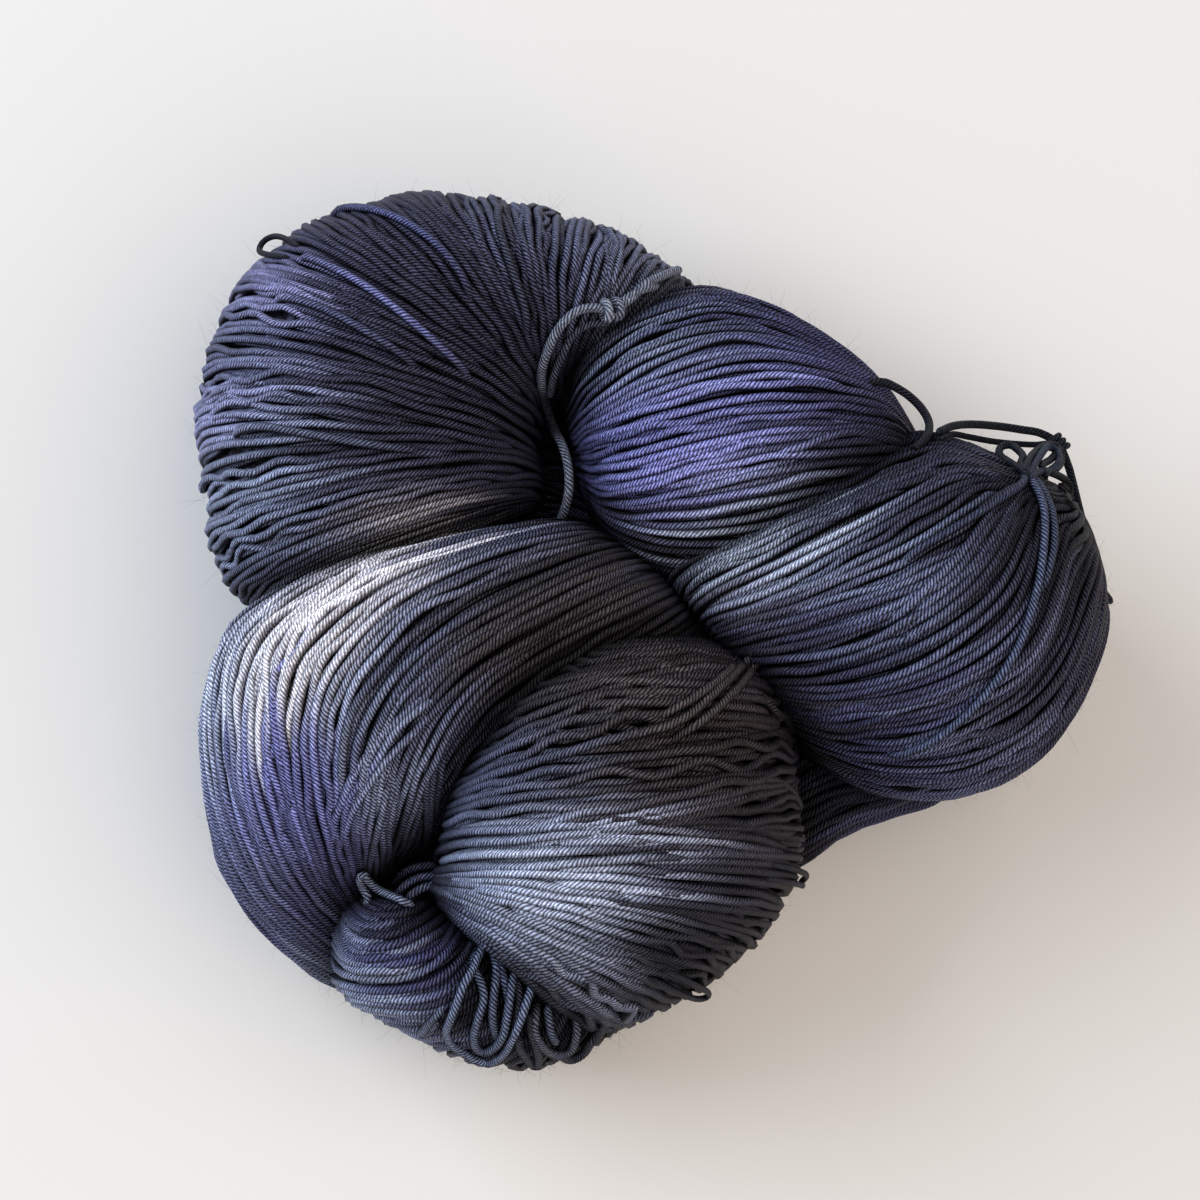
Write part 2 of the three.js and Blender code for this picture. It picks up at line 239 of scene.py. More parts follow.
TIE_RIGHT_ROUTE = [
    (0.0406, 0.0252, 0.0448), (0.0431, 0.0267, 0.0418), (0.0462, 0.0275, 0.0390),
    (0.0499, 0.0277, 0.0368), (0.0534, 0.0275, 0.0354), (0.0564, 0.0271, 0.0346),
    (0.0589, 0.0256, 0.0340), (0.0602, 0.0228, 0.0338), (0.0609, 0.0198, 0.0340),
    (0.0615, 0.0166, 0.0344), (0.0622, 0.0134, 0.0346), (0.0630, 0.0102, 0.0346),
    (0.0638, 0.0072, 0.0342), (0.0648, 0.0048, 0.0334), (0.0661, 0.0034, 0.0322),
]
SLACK_ROUTE = [
    (0.0156, 0.0424, 0.0436), (0.0219, 0.0390, 0.0444), (0.0272, 0.0362, 0.0438),
    (0.0314, 0.0342, 0.0420), (0.0344, 0.0330, 0.0404), (0.0370, 0.0316, 0.0398),
    (0.0389, 0.0296, 0.0402), (0.0398, 0.0272, 0.0416), (0.0392, 0.0248, 0.0440),
    (0.0372, 0.0226, 0.0464),
]

# More strands at the knots, with the place where the upper tie lies down among the windings.
# x, y, z in millimetres from the part's middle
UPPER_SECOND = [
    (-5.9, 40.8, 40.6), (-8.5, 40.4, 41.2), (-10.7, 39.0, 41.0), (-12.3, 36.4, 39.4),
    (-13.5, 34.0, 36.8), (-14.1, 31.8, 33.4),
]
UPPER_STUB = [
    (-5.5, 42.0, 41.4), (-3.5, 44.1, 41.0), (-1.1, 45.6, 40.0), (1.1, 46.8, 37.6),
]
RIGHT_SECOND = [
    (39.8, 23.4, 45.5), (41.6, 24.6, 42.5), (44.2, 24.6, 40.5), (47.5, 24.4, 38.6),
    (50.7, 24.3, 37.4), (53.9, 24.3, 36.6), (56.5, 24.6, 36.0), (57.6, 23.6, 36.0),
    (57.5, 21.6, 37.2), (55.9, 19.7, 41.0),
]
UPPER_HIDDEN = (-14.2, 29.6, 32.2)
# SHADOW_REACH is how far the painted shadow on the upper tie reaches, in millimetres
HIDDEN_DEPTH, HIDDEN_REACH, SHADOW_REACH = 2.2, 4.5, 4.0  # how far it lies down, over what length
UPPER_LIGHT, UPPER_DARK = "#6d7487", "#4b5162"
UPPER_KNOT, RIGHT_KNOT = TIE_UPPER_ROUTE[4], TIE_RIGHT_ROUTE[6]

# Small loops of the right knot: tint, then x, y, z
RIGHT_LOOPS = [
    ["#20252f", (50.9, 17.2, 50.5), (49.8, 19.0, 47.5), (48.7, 20.3, 45.0), (47.9, 21.6, 43.5),
     (48.3, 22.8, 42.5), (49.6, 23.2, 42.0), (50.4, 22.4, 43.0), (50.9, 21.0, 45.0),
     (50.3, 19.5, 47.0), (50.8, 17.8, 50.0)],
    ["#2b3347", (50.7, 17.1, 50.5), (52.3, 19.7, 46.5), (54.0, 22.1, 42.5), (55.2, 23.4, 39.5),
     (56.6, 22.9, 39.0), (56.4, 20.9, 41.5), (54.6, 19.2, 44.0), (52.1, 18.1, 48.5),
     (50.9, 16.6, 51.0)],
    ["#1e222e", (51.4, 16.7, 50.5), (50.7, 18.4, 49.0), (51.8, 20.7, 45.5), (53.7, 22.8, 41.0),
     (55.8, 24.0, 38.0), (57.0, 23.5, 37.5), (55.4, 21.4, 41.0), (53.4, 19.6, 45.5),
     (53.7, 17.7, 47.0)],
    ["#16181f", (54.3, 19.0, 44.5), (56.1, 18.9, 42.0), (57.6, 18.5, 40.0), (58.2, 17.3, 39.5),
     (57.3, 16.1, 40.5), (56.1, 16.4, 42.0), (56.7, 17.5, 41.5), (58.0, 16.9, 39.5),
     (58.4, 15.4, 39.0), (57.8, 14.1, 39.5), (56.6, 13.8, 41.0), (56.2, 14.7, 42.0),
     (57.1, 15.6, 41.0), (58.0, 14.9, 39.5)],
]

# Strands wound round the ties at their knots.
# columns: turns, radius in diameters of the tie, length along the tie and distance from the knot
# in millimetres, thickness in diameters of the tie, tint
UPPER_WRAPS = [
    (1.15, 0.92, 0.5, -0.8, 0.9, "#7c8496"),
    (1.15, 0.92, -0.4, 0.8, 0.9, UPPER_LIGHT),
    (0.8, 0.8, -2.0, 0.2, 0.8, UPPER_DARK),
]
RIGHT_WRAPS = [(2.6, 0.8, 2.4, 0.0, 0.8, "#20252f")]

# Single strands that lie over a lobe: tint, then the route seen from above, x and y in
# millimetres. They stand off by lift, in millimetres, and over the share fade of their length at
# either end their tint goes over into the colour around them, of dye and painted shade.
OVER_LOBES = [
    # the front right lobe
    {
        "lift": 0.35, "fade": 0.2,
        "strands": [
            ["#434b62", (50.4, 20.4), (50.6, 18.6), (51.0, 16.5), (51.6, 14.5), (52.0, 12.3),
             (51.9, 9.8), (51.6, 7.4), (51.1, 4.2), (50.5, 1.3), (49.6, -1.8), (48.7, -4.7),
             (47.7, -7.0), (46.4, -9.1), (44.6, -11.6), (42.6, -13.9), (39.9, -16.4),
             (36.9, -18.5), (33.2, -19.8), (29.6, -20.3)],
            ["#363c4f", (50.8, 20.0), (51.2, 18.2), (51.9, 16.2), (52.8, 13.4), (53.2, 10.4),
             (53.0, 7.4), (52.3, 4.4), (51.3, 1.4), (50.4, -1.6)],
            ["#31364a", (50.6, 20.0), (50.5, 17.8), (49.4, 15.6), (46.9, 13.6), (43.4, 11.2),
             (39.3, 8.6), (35.3, 6.2), (31.6, 4.3)],
        ],
    },
    # the back left lobe
    {
        "lift": 0.1, "fade": 0.45,
        "strands": [
            ["#585c85", (-50.5, 50.6), (-44.9, 47.4), (-39.0, 43.6), (-32.6, 38.6), (-27.0, 33.9),
             (-23.1, 30.4)],
            ["#43476a", (-47.5, 58.0), (-42.0, 57.6), (-36.0, 54.8), (-30.4, 50.6), (-26.4, 46.0),
             (-23.6, 40.6)],
            ["#40445f", (-54.0, 43.8), (-49.4, 42.6), (-44.4, 40.4), (-37.6, 36.4), (-30.6, 31.8)],
            ["#454a5e", (-60.0, 24.4), (-54.0, 24.9), (-46.5, 23.2), (-38.4, 21.7), (-29.6, 20.9)],
            ["#343847", (-20.4, 60.2), (-21.2, 54.6), (-19.6, 48.0), (-17.4, 41.6), (-16.6, 36.0)],
        ],
    },
    # the fan
    {
        "lift": 0.45, "fade": 0.2,
        "strands": [
            ["#3d3a3d", (13.6, -6.0), (11.2, -9.4), (8.6, -12.2), (5.0, -15.7), (1.4, -17.8),
             (-4.0, -18.9)],
            ["#3d3a3d", (12.4, -6.4), (9.8, -9.8), (7.0, -12.4), (3.4, -15.0), (-0.6, -16.9)],
            ["#3d3a3d", (14.6, -6.6), (12.4, -10.2), (9.9, -13.2), (6.4, -16.6), (2.6, -19.2)],
        ],
    },
]

# The turned ends of the windings, which hang over the rim of the tucked end, and the turns that
# come out of the hollow above it: tint, then x, y, z in millimetres from the part's middle
END_TURNS = [
    ["#333644", (-18.4, -49.9, 36.7), (-18.0, -52.4, 36.8), (-18.2, -54.8, 36.4),
     (-18.7, -57.0, 34.9)],
    ["#3f4557", (-14.2, -53.4, 35.2), (-14.0, -55.3, 34.6), (-13.7, -57.2, 33.2),
     (-13.0, -58.6, 31.4)],
    ["#434a5e", (-21.4, -44.2, 32.5), (-21.6, -46.1, 35.5), (-21.1, -48.3, 37.0),
     (-21.2, -50.5, 37.6), (-21.5, -52.9, 37.5), (-21.6, -55.3, 36.5), (-21.3, -57.2, 34.4),
     (-20.8, -58.6, 31.0)],
    ["#3d4358", (-20.4, -45.0, 33.0), (-20.8, -46.9, 35.9), (-20.2, -49.4, 37.1),
     (-19.6, -51.8, 37.2), (-19.3, -54.0, 36.6), (-19.6, -56.1, 34.0)],
    ["#474f64", (-24.0, -46.4, 35.0), (-24.2, -48.3, 37.8), (-23.1, -50.5, 38.0),
     (-22.8, -52.6, 37.7), (-23.6, -55.3, 36.7), (-24.2, -57.5, 34.6), (-24.0, -59.2, 31.9),
     (-22.8, -59.8, 31.3), (-21.3, -59.0, 33.0), (-20.2, -57.4, 35.2), (-19.6, -54.9, 37.0),
     (-19.2, -52.2, 37.9), (-18.8, -49.7, 36.9), (-18.4, -47.8, 34.0)],
    ["#535c73", (-21.6, -42.9, 31.5), (-22.6, -44.6, 34.2), (-23.4, -46.4, 36.8),
     (-24.3, -48.6, 38.5), (-25.5, -50.8, 39.2), (-26.3, -52.9, 38.7), (-27.2, -55.1, 37.0),
     (-28.0, -57.0, 34.0), (-27.5, -58.7, 31.0), (-26.0, -59.9, 29.0), (-24.4, -60.9, 27.6),
     (-22.3, -61.3, 27.4), (-20.4, -60.2, 30.6), (-19.0, -58.0, 34.4), (-18.0, -55.9, 36.6),
     (-17.2, -53.7, 37.5), (-16.5, -51.6, 37.0), (-16.0, -49.9, 35.6), (-15.2, -47.8, 33.0)],
    ["#2b2c38", (-18.2, -57.5, 34.3), (-18.1, -58.9, 32.7), (-17.4, -60.2, 30.0),
     (-16.6, -61.4, 26.6), (-15.9, -61.9, 25.7), (-15.5, -60.7, 28.5), (-15.8, -58.9, 32.4),
     (-16.4, -57.0, 34.4), (-16.6, -54.5, 36.0)],
    ["#434756", (-15.6, -52.9, 33.0), (-15.8, -54.8, 35.4), (-15.9, -57.0, 34.3),
     (-15.2, -58.6, 32.5), (-14.1, -59.8, 30.0), (-12.5, -60.3, 28.0), (-11.1, -59.7, 27.8),
     (-10.4, -58.1, 29.9), (-10.2, -56.1, 31.4), (-10.7, -54.2, 31.0)],
    ["#2d2f3b", (-13.0, -60.0, 28.3), (-11.2, -61.0, 24.5), (-9.4, -60.2, 24.3),
     (-8.2, -58.5, 26.8), (-7.1, -57.1, 27.8), (-6.4, -55.9, 30.2), (-6.6, -54.5, 33.5)],
    ["#4a5165", (-28.0, -53.4, 37.5), (-29.5, -54.9, 35.6), (-30.9, -56.5, 32.5),
     (-31.5, -57.4, 29.8), (-30.5, -57.0, 31.4), (-29.2, -55.6, 34.6)],
    ["#585f72", (-32.6, -39.9, 35.6), (-34.1, -39.2, 36.2), (-35.7, -38.5, 34.9),
     (-37.5, -37.7, 33.2), (-38.8, -36.6, 33.6), (-39.6, -35.5, 34.8), (-40.1, -36.2, 34.2),
     (-39.8, -37.4, 33.0), (-39.1, -38.6, 32.8), (-39.4, -39.9, 31.6)],
    ["#41465a", (-35.9, -36.4, 25.0), (-34.6, -35.2, 28.0), (-32.6, -34.4, 29.8),
     (-29.8, -34.0, 30.0)],
    ["#484c61", (-35.4, -38.3, 30.0), (-33.9, -36.9, 31.6), (-31.9, -35.9, 32.4),
     (-28.9, -35.6, 32.6)],
    ["#414558", (-33.6, -38.9, 33.4), (-32.2, -37.8, 34.2), (-30.4, -37.1, 34.6),
     (-28.0, -36.9, 34.0)],
]

# Small loops that leave a bundle and come back to it.
# columns: place along the bundle from 0 to 1, angle round it in half turns, lift in millimetres
LOOSE_LOOPS = {
    "back_left": [
        [(0.456, 0.76, -0.6), (0.453, 0.82, 0.3), (0.455, 0.86, 0.8), (0.462, 0.88, 1.2),
         (0.470, 0.88, 1.4), (0.477, 0.86, 1.1), (0.478, 0.82, 0.5), (0.474, 0.76, -0.6)],
    ],
    "fan": [
        [(0.520, 0.80, -0.4), (0.526, 0.92, 0.5), (0.531, 1.02, 1.3), (0.539, 1.06, 1.6),
         (0.547, 1.01, 1.1), (0.549, 0.90, 0.3), (0.547, 0.80, -0.6)],
        [(0.762, 0.74, -0.4), (0.767, 0.86, 0.6), (0.771, 0.94, 1.3), (0.780, 0.97, 1.5),
         (0.789, 0.93, 1.0), (0.791, 0.84, 0.2), (0.788, 0.74, -0.6)],
    ],
}

# Area lights, whose powers are settings. columns: name, place and size in metres, colour
LIGHTS = [
    ("window", (-0.95, 0.45, 0.80), 1.1, (0.88, 0.95, 1.0)),
    ("lamp", (0.8, -0.35, 1.2), 2.2, (1.0, 0.82, 0.64)),
]
ROOM_COLOUR = (0.96, 0.975, 1.0, 1)


# ---------------------------------------------------------------- settings


def length_setting(name, description, millimetres):
    """A length in the panel, given here in millimetres."""
    return bpy.props.FloatProperty(
        name=name, description=description, default=millimetres * MM, unit="LENGTH"
    )


class YarnSettings(bpy.types.PropertyGroup):
    """Sizes of the yarn and of the way it is wound."""

    diameter: length_setting("Yarn diameter", "Thickness of one strand of the winding", 1.24)
    pitch: length_setting("Strand pitch", "Distance between strands that lie side by side", 1.22)
    tie_diameter: length_setting("Tie diameter", "Thickness of the strands that tie the hank", 1.35)
    slack_diameter: length_setting(
        "Slack strand diameter", "Thickness of the strand that stands clear of its lobe", 1.2
    )
    step: length_setting("Step", "Length of a strand between two rings of its points", 2.0)
    sides: bpy.props.IntProperty(
        name="Sides", description="Points in each ring of an outer strand", default=6, min=4, max=12
    )
    plies: bpy.props.IntProperty(
        name="Plies", description="Grooves round the yarn", default=5, min=2, max=8
    )
    ply_turn: length_setting("Ply turn", "Length of yarn in which a ply goes round once", 2.9)
    groove: length_setting("Groove depth", "Depth of the grooves between plies", 0.20)
    seed: bpy.props.IntProperty(
        name="Seed", description="Another number gives another winding", default=7
    )


class StageSettings(bpy.types.PropertyGroup):
    """The camera, the table and the light."""

    distance: length_setting("Camera distance", "From the camera to the middle of the skein", 400)
    elevation: bpy.props.FloatProperty(
        name="Camera elevation",
        description="Angle of the view above the table",
        default=math.radians(82),
        subtype="ANGLE",
    )
    lens: bpy.props.FloatProperty(
        name="Lens", description="Focal length in millimetres", default=84.0
    )
    window_power: bpy.props.FloatProperty(
        name="Window light", description="Power of the cool light on the left", default=14.5
    )
    lamp_power: bpy.props.FloatProperty(
        name="Lamp light", description="Power of the warm light on the right", default=20.0
    )
    room_light: bpy.props.FloatProperty(
        name="Room light", description="Strength of the light from all round", default=0.42
    )
    table_colour: bpy.props.FloatVectorProperty(
        name="Table colour",
        description="Colour of the painted table top",
        default=(0.606, 0.622, 0.652),
        subtype="COLOR",
    )


# ---------------------------------------------------------------- shapes, in millimetres


def smooth(x):
    """Goes from 0 to 1 as x does, and levels off at both ends."""
    x = np.clip(x, 0, 1)
    return x * x * (3 - 2 * x)


def spline(rows, t):
    """A smooth curve through the rows, at t from 0 to 1."""
    rows = np.asarray(rows, float)
    last = len(rows) - 1
    place = np.clip(t, 0, 1) * last
    i = np.clip(np.floor(place).astype(int), 0, last - 1)
    f = (place - i)[..., None]
    padded = np.vstack([2 * rows[0] - rows[1], rows, 2 * rows[-1] - rows[-2]])
    a, b, c, d = (padded[i + k] for k in range(4))
    curve = 2 * b + (c - a) * f + (2 * a - 5 * b + 4 * c - d) * f**2
    return 0.5 * (curve + (3 * b - a - 3 * c + d) * f**3)


def on_bundle(rows, t, angle, lift=0.0):
    """Points on a bundle's surface, raised by lift, and the way out of the bundle there."""
    section = spline(rows, t)
    left, right = section[..., (0, 1, 4)], section[..., (2, 3, 4)]
    offset = (right - left) / 2 * np.cos(angle)[..., None]
    offset[..., 2] += section[..., 5] * np.sin(angle)
    reach = np.maximum(np.linalg.norm(offset, axis=-1, keepdims=True), LEAST_REACH)
    out = offset / reach
    lifted = np.broadcast_to(np.asarray(lift, float), reach.shape[:-1])[..., None]
    return (left + right) / 2 + out * np.maximum(reach + lifted, LEAST_SUNK_REACH) - MIDDLE, out


def length_along(points):
    """Length of each path so far, at each of its points."""
    steps = np.linalg.norm(np.diff(points, axis=-2), axis=-1)
    return np.concatenate([np.zeros(steps.shape[:-1] + (1,)), np.cumsum(steps, axis=-1)], axis=-1)


def even_path(fine, step):
    """Points at even steps along a finely drawn path."""
    length = length_along(fine)
    places = np.linspace(0, length[-1], max(8, round(length[-1] / step)))
    return np.stack([np.interp(places, length, column) for column in fine.T], axis=-1)


def drift(rng, strand, along, strands, reach, waves=6):
    """Smooth noise of about 1, whose waves are about so many strands and millimetres long."""
    total = np.zeros(np.broadcast_shapes(strand.shape, along.shape))
    for _ in range(waves):
        across = rng.uniform(0.5, 1.5) / strands * rng.choice([-1, 1])
        down = rng.uniform(0.5, 1.5) / reach
        total += np.sin(TURN * (strand * across + along * down) + rng.uniform(0, TURN))
    return total / math.sqrt(waves)


def ripple(rng, count, along, wave):
    """Each strand's own small waves: most are nearly straight, a few curl."""
    size = rng.uniform(0, 1, (count, 1)) ** 2.5
    total = 0
    for _ in range(2):
        length = wave * rng.uniform(0.7, 1.6, (count, 1))
        total = total + np.sin(TURN * (along / length + rng.uniform(0, 1, (count, 1))))
    return total * size


def spread_order(count, bits=10):
    """A number from 0 to 1 for each strand, so that any low share of them is spread evenly."""
    order = np.zeros(count)
    for bit in range(bits):
        order += ((np.arange(count) >> bit) & 1) / 2.0 ** (bit + 1)
    return order


def clumps(rng, count):
    """How far each strand is from the middle of its group of three to seven, in strands."""
    offsets = []
    while len(offsets) < count:
        size = int(rng.integers(3, 8))
        offsets.extend(np.arange(size) - (size - 1) / 2)
    return np.array(offsets[:count])


def evened(place, sunk, rounds=10):
    """Strand places moved so that those that have not sunk lie evenly beside each other."""
    for _ in range(rounds):
        before, after = place.copy(), place.copy()
        for i in range(1, len(place)):
            before[i] = place[i - 1] * (1 - sunk[i - 1]) + before[i - 1] * sunk[i - 1]
        for i in range(len(place) - 2, -1, -1):
            after[i] = place[i + 1] * (1 - sunk[i + 1]) + after[i + 1] * sunk[i + 1]
        middle = (before + after) / 2
        middle[0], middle[-1] = place[0], place[-1]
        place = place + 0.5 * (middle - place)
    return place


def crowding(beside, base, pitch):
    """How much closer than their pitch neighbouring strands lie: above 1 they are crowded."""
    return pitch / np.maximum(np.linalg.norm(beside - base, axis=-1), LEAST_GAP)


class Winding:
    """The strands of one bundle, side by side, and where any place on it is."""

    SAMPLES, SECTIONS = 721, 25  # points of a line that is measured, and sections
    PAST_END = 40  # mm that the strands take up past the end of a swirled bundle, per length of it
    SWIRL_POWER = 1.6  # above 1, swirled strands stay together for longer at their turn
    END_SLACK = 0.004  # share of its length by which a strand may pass a bundle's end
    OPEN_FROM, OPEN_OVER = 0.62, 0.3  # shares of the length: where the strands get coarser
    GATHER = 0.045  # share of the way that strands draw in to the middle of their group
    WANDER_SLOW, WANDER_QUICK = 0.7, 0.15  # pitches by which strands wander off their places
    STAGGER = 0.12  # pitches by which each strand is off its place
    CROWDED = 0.82  # crowding times order at which a strand starts to go under the others
    BURIED, LEFT_OUT = 2.3, 2.0  # mm: depth of a strand that went under, and of its last point
    RELIEF_SLOW, RELIEF_QUICK = 0.26, 0.13  # mm by which strands rise and fall
    STRAY_POINTS, STRAY_PITCH = 30, 1.02  # points of a stray strand, and pitches between two
    STRAY_DIP, STRAY_END = 2.1, 0.22  # mm that a stray's ends go down, and over what share of it
    STRAY_CROWDED = 1.2  # crowding past which a stray goes down too

    def __init__(self, bundle, pitch):
        self.rows = rows = bundle["rows"]
        self.around = bundle["lay"] == "around"
        self.seam = bundle.get("seam", 0.0)
        self.swirl = bundle.get("swirl", 0.0)
        self.curl = bundle.get("curl", 0.3)
        self.open = bundle.get("open", 0.0)
        self.twist = bundle.get("twist", 0.0)
        self.pinch = bundle.get("pinch")
        self.pitch = pitch
        fine = np.linspace(0, 1, self.SAMPLES)
        if self.around:
            self.table = fine * (1 + abs(self.swirl))
            line, _ = on_bundle(rows, self.table, np.full_like(fine, bundle["crown"]))
            line = line + np.maximum(self.table - 1, 0)[:, None] * (self.PAST_END, 0, 0)
            measured, _ = on_bundle(rows, np.full_like(fine, 0.5), fine * TURN)
        else:
            self.table = fine * TURN
            places = np.linspace(0, 1, self.SECTIONS)
            hoops = [on_bundle(rows, np.full_like(fine, t), self.table)[0] for t in places]
            line = max(hoops, key=lambda hoop: length_along(hoop)[-1])
            measured, _ = on_bundle(rows, fine, np.full_like(fine, math.pi / 2))
        self.length = length_along(measured)[-1]
        line = length_along(line)
        if self.around:
            steps = np.diff(line) / self.coarse(self.table[1:])
            line = np.concatenate([[0], np.cumsum(steps)])
        self.share = line / line[-1]
        self.count = max(4, round(line[-1] / pitch))

    def coarse(self, t):
        """How much thicker and further apart the strands are at a place along the bundle."""
        return 1 + self.open * smooth((t - self.OPEN_FROM) / self.OPEN_OVER)

    def at(self, place, x, lift=0.0):
        """Points at a strand number and a share x of its length, and the way out there."""
        share = (place + 0.5) / self.count
        if self.around:
            t = np.interp(np.clip(share, 0, 1), self.share, self.table)
            t = t - abs(self.swirl) * ((1 - np.cos(TURN * x)) / 2) ** self.SWIRL_POWER
            self.inside = (t >= -self.END_SLACK) & (t <= 1 + self.END_SLACK)
            self.scale = self.coarse(t)
            return on_bundle(self.rows, t, self.seam + x * TURN + 0 * t, lift)
        angle = np.interp(share % 1.0, self.share, self.table) + self.twist * (x - 0.5)
        if self.pinch:
            # the strands gather where the hank turns round
            at, towards, strength, reach, width = self.pinch
            off = (angle - towards + math.pi) % TURN - math.pi
            angle = angle - strength * off * np.exp(-((off / width) ** 2) - ((x - at) / reach) ** 2)
        self.inside = np.ones(angle.shape, bool)
        self.scale = np.ones(angle.shape)
        return on_bundle(self.rows, x + 0 * angle, angle, lift)

    def layer(self, rng, step, lift, shift=0.0, slant=0.0):
        """Every strand of a layer: points, the way out of the bundle, which points count, how
        coarse the strand is at each, and the length of a step."""
        count = self.count
        x = np.linspace(0, 1, max(10, math.ceil(self.length / step)))[None, :]
        i = np.arange(count)[:, None].astype(float)
        along = x * self.length
        # a strand is free to curl where it is high on the bundle, away from the folds
        rim = (1 - np.cos(TURN * x)) / 2 if self.around else np.sin(math.pi * x)
        free = self.curl * (0.3 + 0.7 * rim)
        gather = self.GATHER * clumps(rng, count)[:, None] * (1 + drift(rng, i, along, 9, 60))
        wander = self.WANDER_SLOW * drift(rng, i, along, 17, 85)
        wander = wander + self.WANDER_QUICK * drift(rng, i, along, 2.5, 40)
        place = i + shift + wander - gather + slant * (x - 0.5)
        place = place + rng.uniform(-self.STAGGER, self.STAGGER, (count, 1))
        place = place + free * ripple(rng, count, along, 11) / self.pitch
        base, _ = self.at(i + 0 * x, x)
        beside, _ = self.at(i + 1 + 0 * x, x)
        crowd = crowding(beside, base, self.pitch * self.scale)
        # where the strands crowd, an even share of them goes under the others
        sunk = smooth((spread_order(count)[:, None] * crowd - self.CROWDED) * 3)
        place = place + evened(i + 0 * x, sunk) - i
        bury = self.BURIED * sunk
        relief = self.RELIEF_SLOW * drift(rng, i, along, 8, 60)
        relief = relief + self.RELIEF_QUICK * drift(rng, i, along, 1.6, 26)
        relief = relief + free * ripple(rng, count, along, 12) * 0.5
        points, out = self.at(place, x, lift + relief - bury)
        return points, out, self.inside & (bury < self.LEFT_OUT), self.scale, step

    def strays(self, rng, share, cross, lift, step=1.8):
        """Small groups of strands that cross over others and go down among them again."""
        sizes = rng.integers(1, 5, max(2, round(self.count * share / 2.5)))
        group = np.repeat(np.arange(len(sizes)), sizes)
        own = np.arange(len(group)) - np.repeat(np.cumsum(sizes) - sizes, sizes)
        count = len(group)

        def varied(low, high, apart):
            """A number for each strand, nearly the same within its group."""
            together = rng.uniform(low, high, len(sizes))[group]
            return (together + rng.uniform(-apart, apart, count))[:, None]

        # shares of a strand's length: how far a stray runs, and where it starts
        run = varied(0.16, 0.5, 0.03)
        first = varied(0.02, 1.0, 0.0) * (0.98 - run)
        line = np.linspace(0, 1, self.STRAY_POINTS)[None, :]
        x = first + run * line
        slope = varied(-cross, cross, 0.4)
        place = varied(1, self.count - 3, 0.1) + own[:, None] * self.STRAY_PITCH
        place = place + slope * (smooth(line) - 0.5)
        place = place + 0.5 * ripple(rng, count, x * self.length, 13) / self.pitch
        base, _ = self.at(place, x)
        beside, _ = self.at(place + 1, x)
        crowd = crowding(beside, base, self.pitch)
        dip = 1 - smooth(np.minimum(line, 1 - line) / self.STRAY_END)
        dip = np.maximum(dip, np.clip(0.9 * (crowd - self.STRAY_CROWDED), 0, 1))
        raised = lift + rng.uniform(0.25, 0.55, (count, 1)) - self.STRAY_DIP * dip
        points, out = self.at(place, x, raised)
        return points, out, self.inside & (dip < 0.99), self.scale, step


def rest_on_table(points, radius):
    """Strands under the hank are pressed flat where it rests."""
    points[..., 2] = np.maximum(points[..., 2], radius)
    return points


def bundle_body(bundle, lift=0.0, rings=41, sides=40):
    """A bundle's plain surface: points, and faces that point outwards."""
    t, angle = np.meshgrid(np.linspace(0, 1, rings), np.arange(sides) / sides * TURN, indexing="ij")
    points, _ = on_bundle(bundle["rows"], t, angle, lift)
    ends, _ = on_bundle(bundle["rows"], np.array([0.0, 1.0]), np.array([0.0, 0.0]))
    other, _ = on_bundle(bundle["rows"], np.array([0.0, 1.0]), np.array([math.pi, math.pi]))
    points = np.vstack([points.reshape(-1, 3), (ends + other) / 2])
    faces = []
    for side in range(sides):
        after = (side + 1) % sides
        for ring in range(rings - 1):
            here, there = ring * sides, (ring + 1) * sides
            faces.append((here + side, there + side, there + after, here + after))
        faces.append((rings * sides, side, after))
        faces.append((rings * sides + 1, (rings - 1) * sides + after, (rings - 1) * sides + side))
    return points, faces


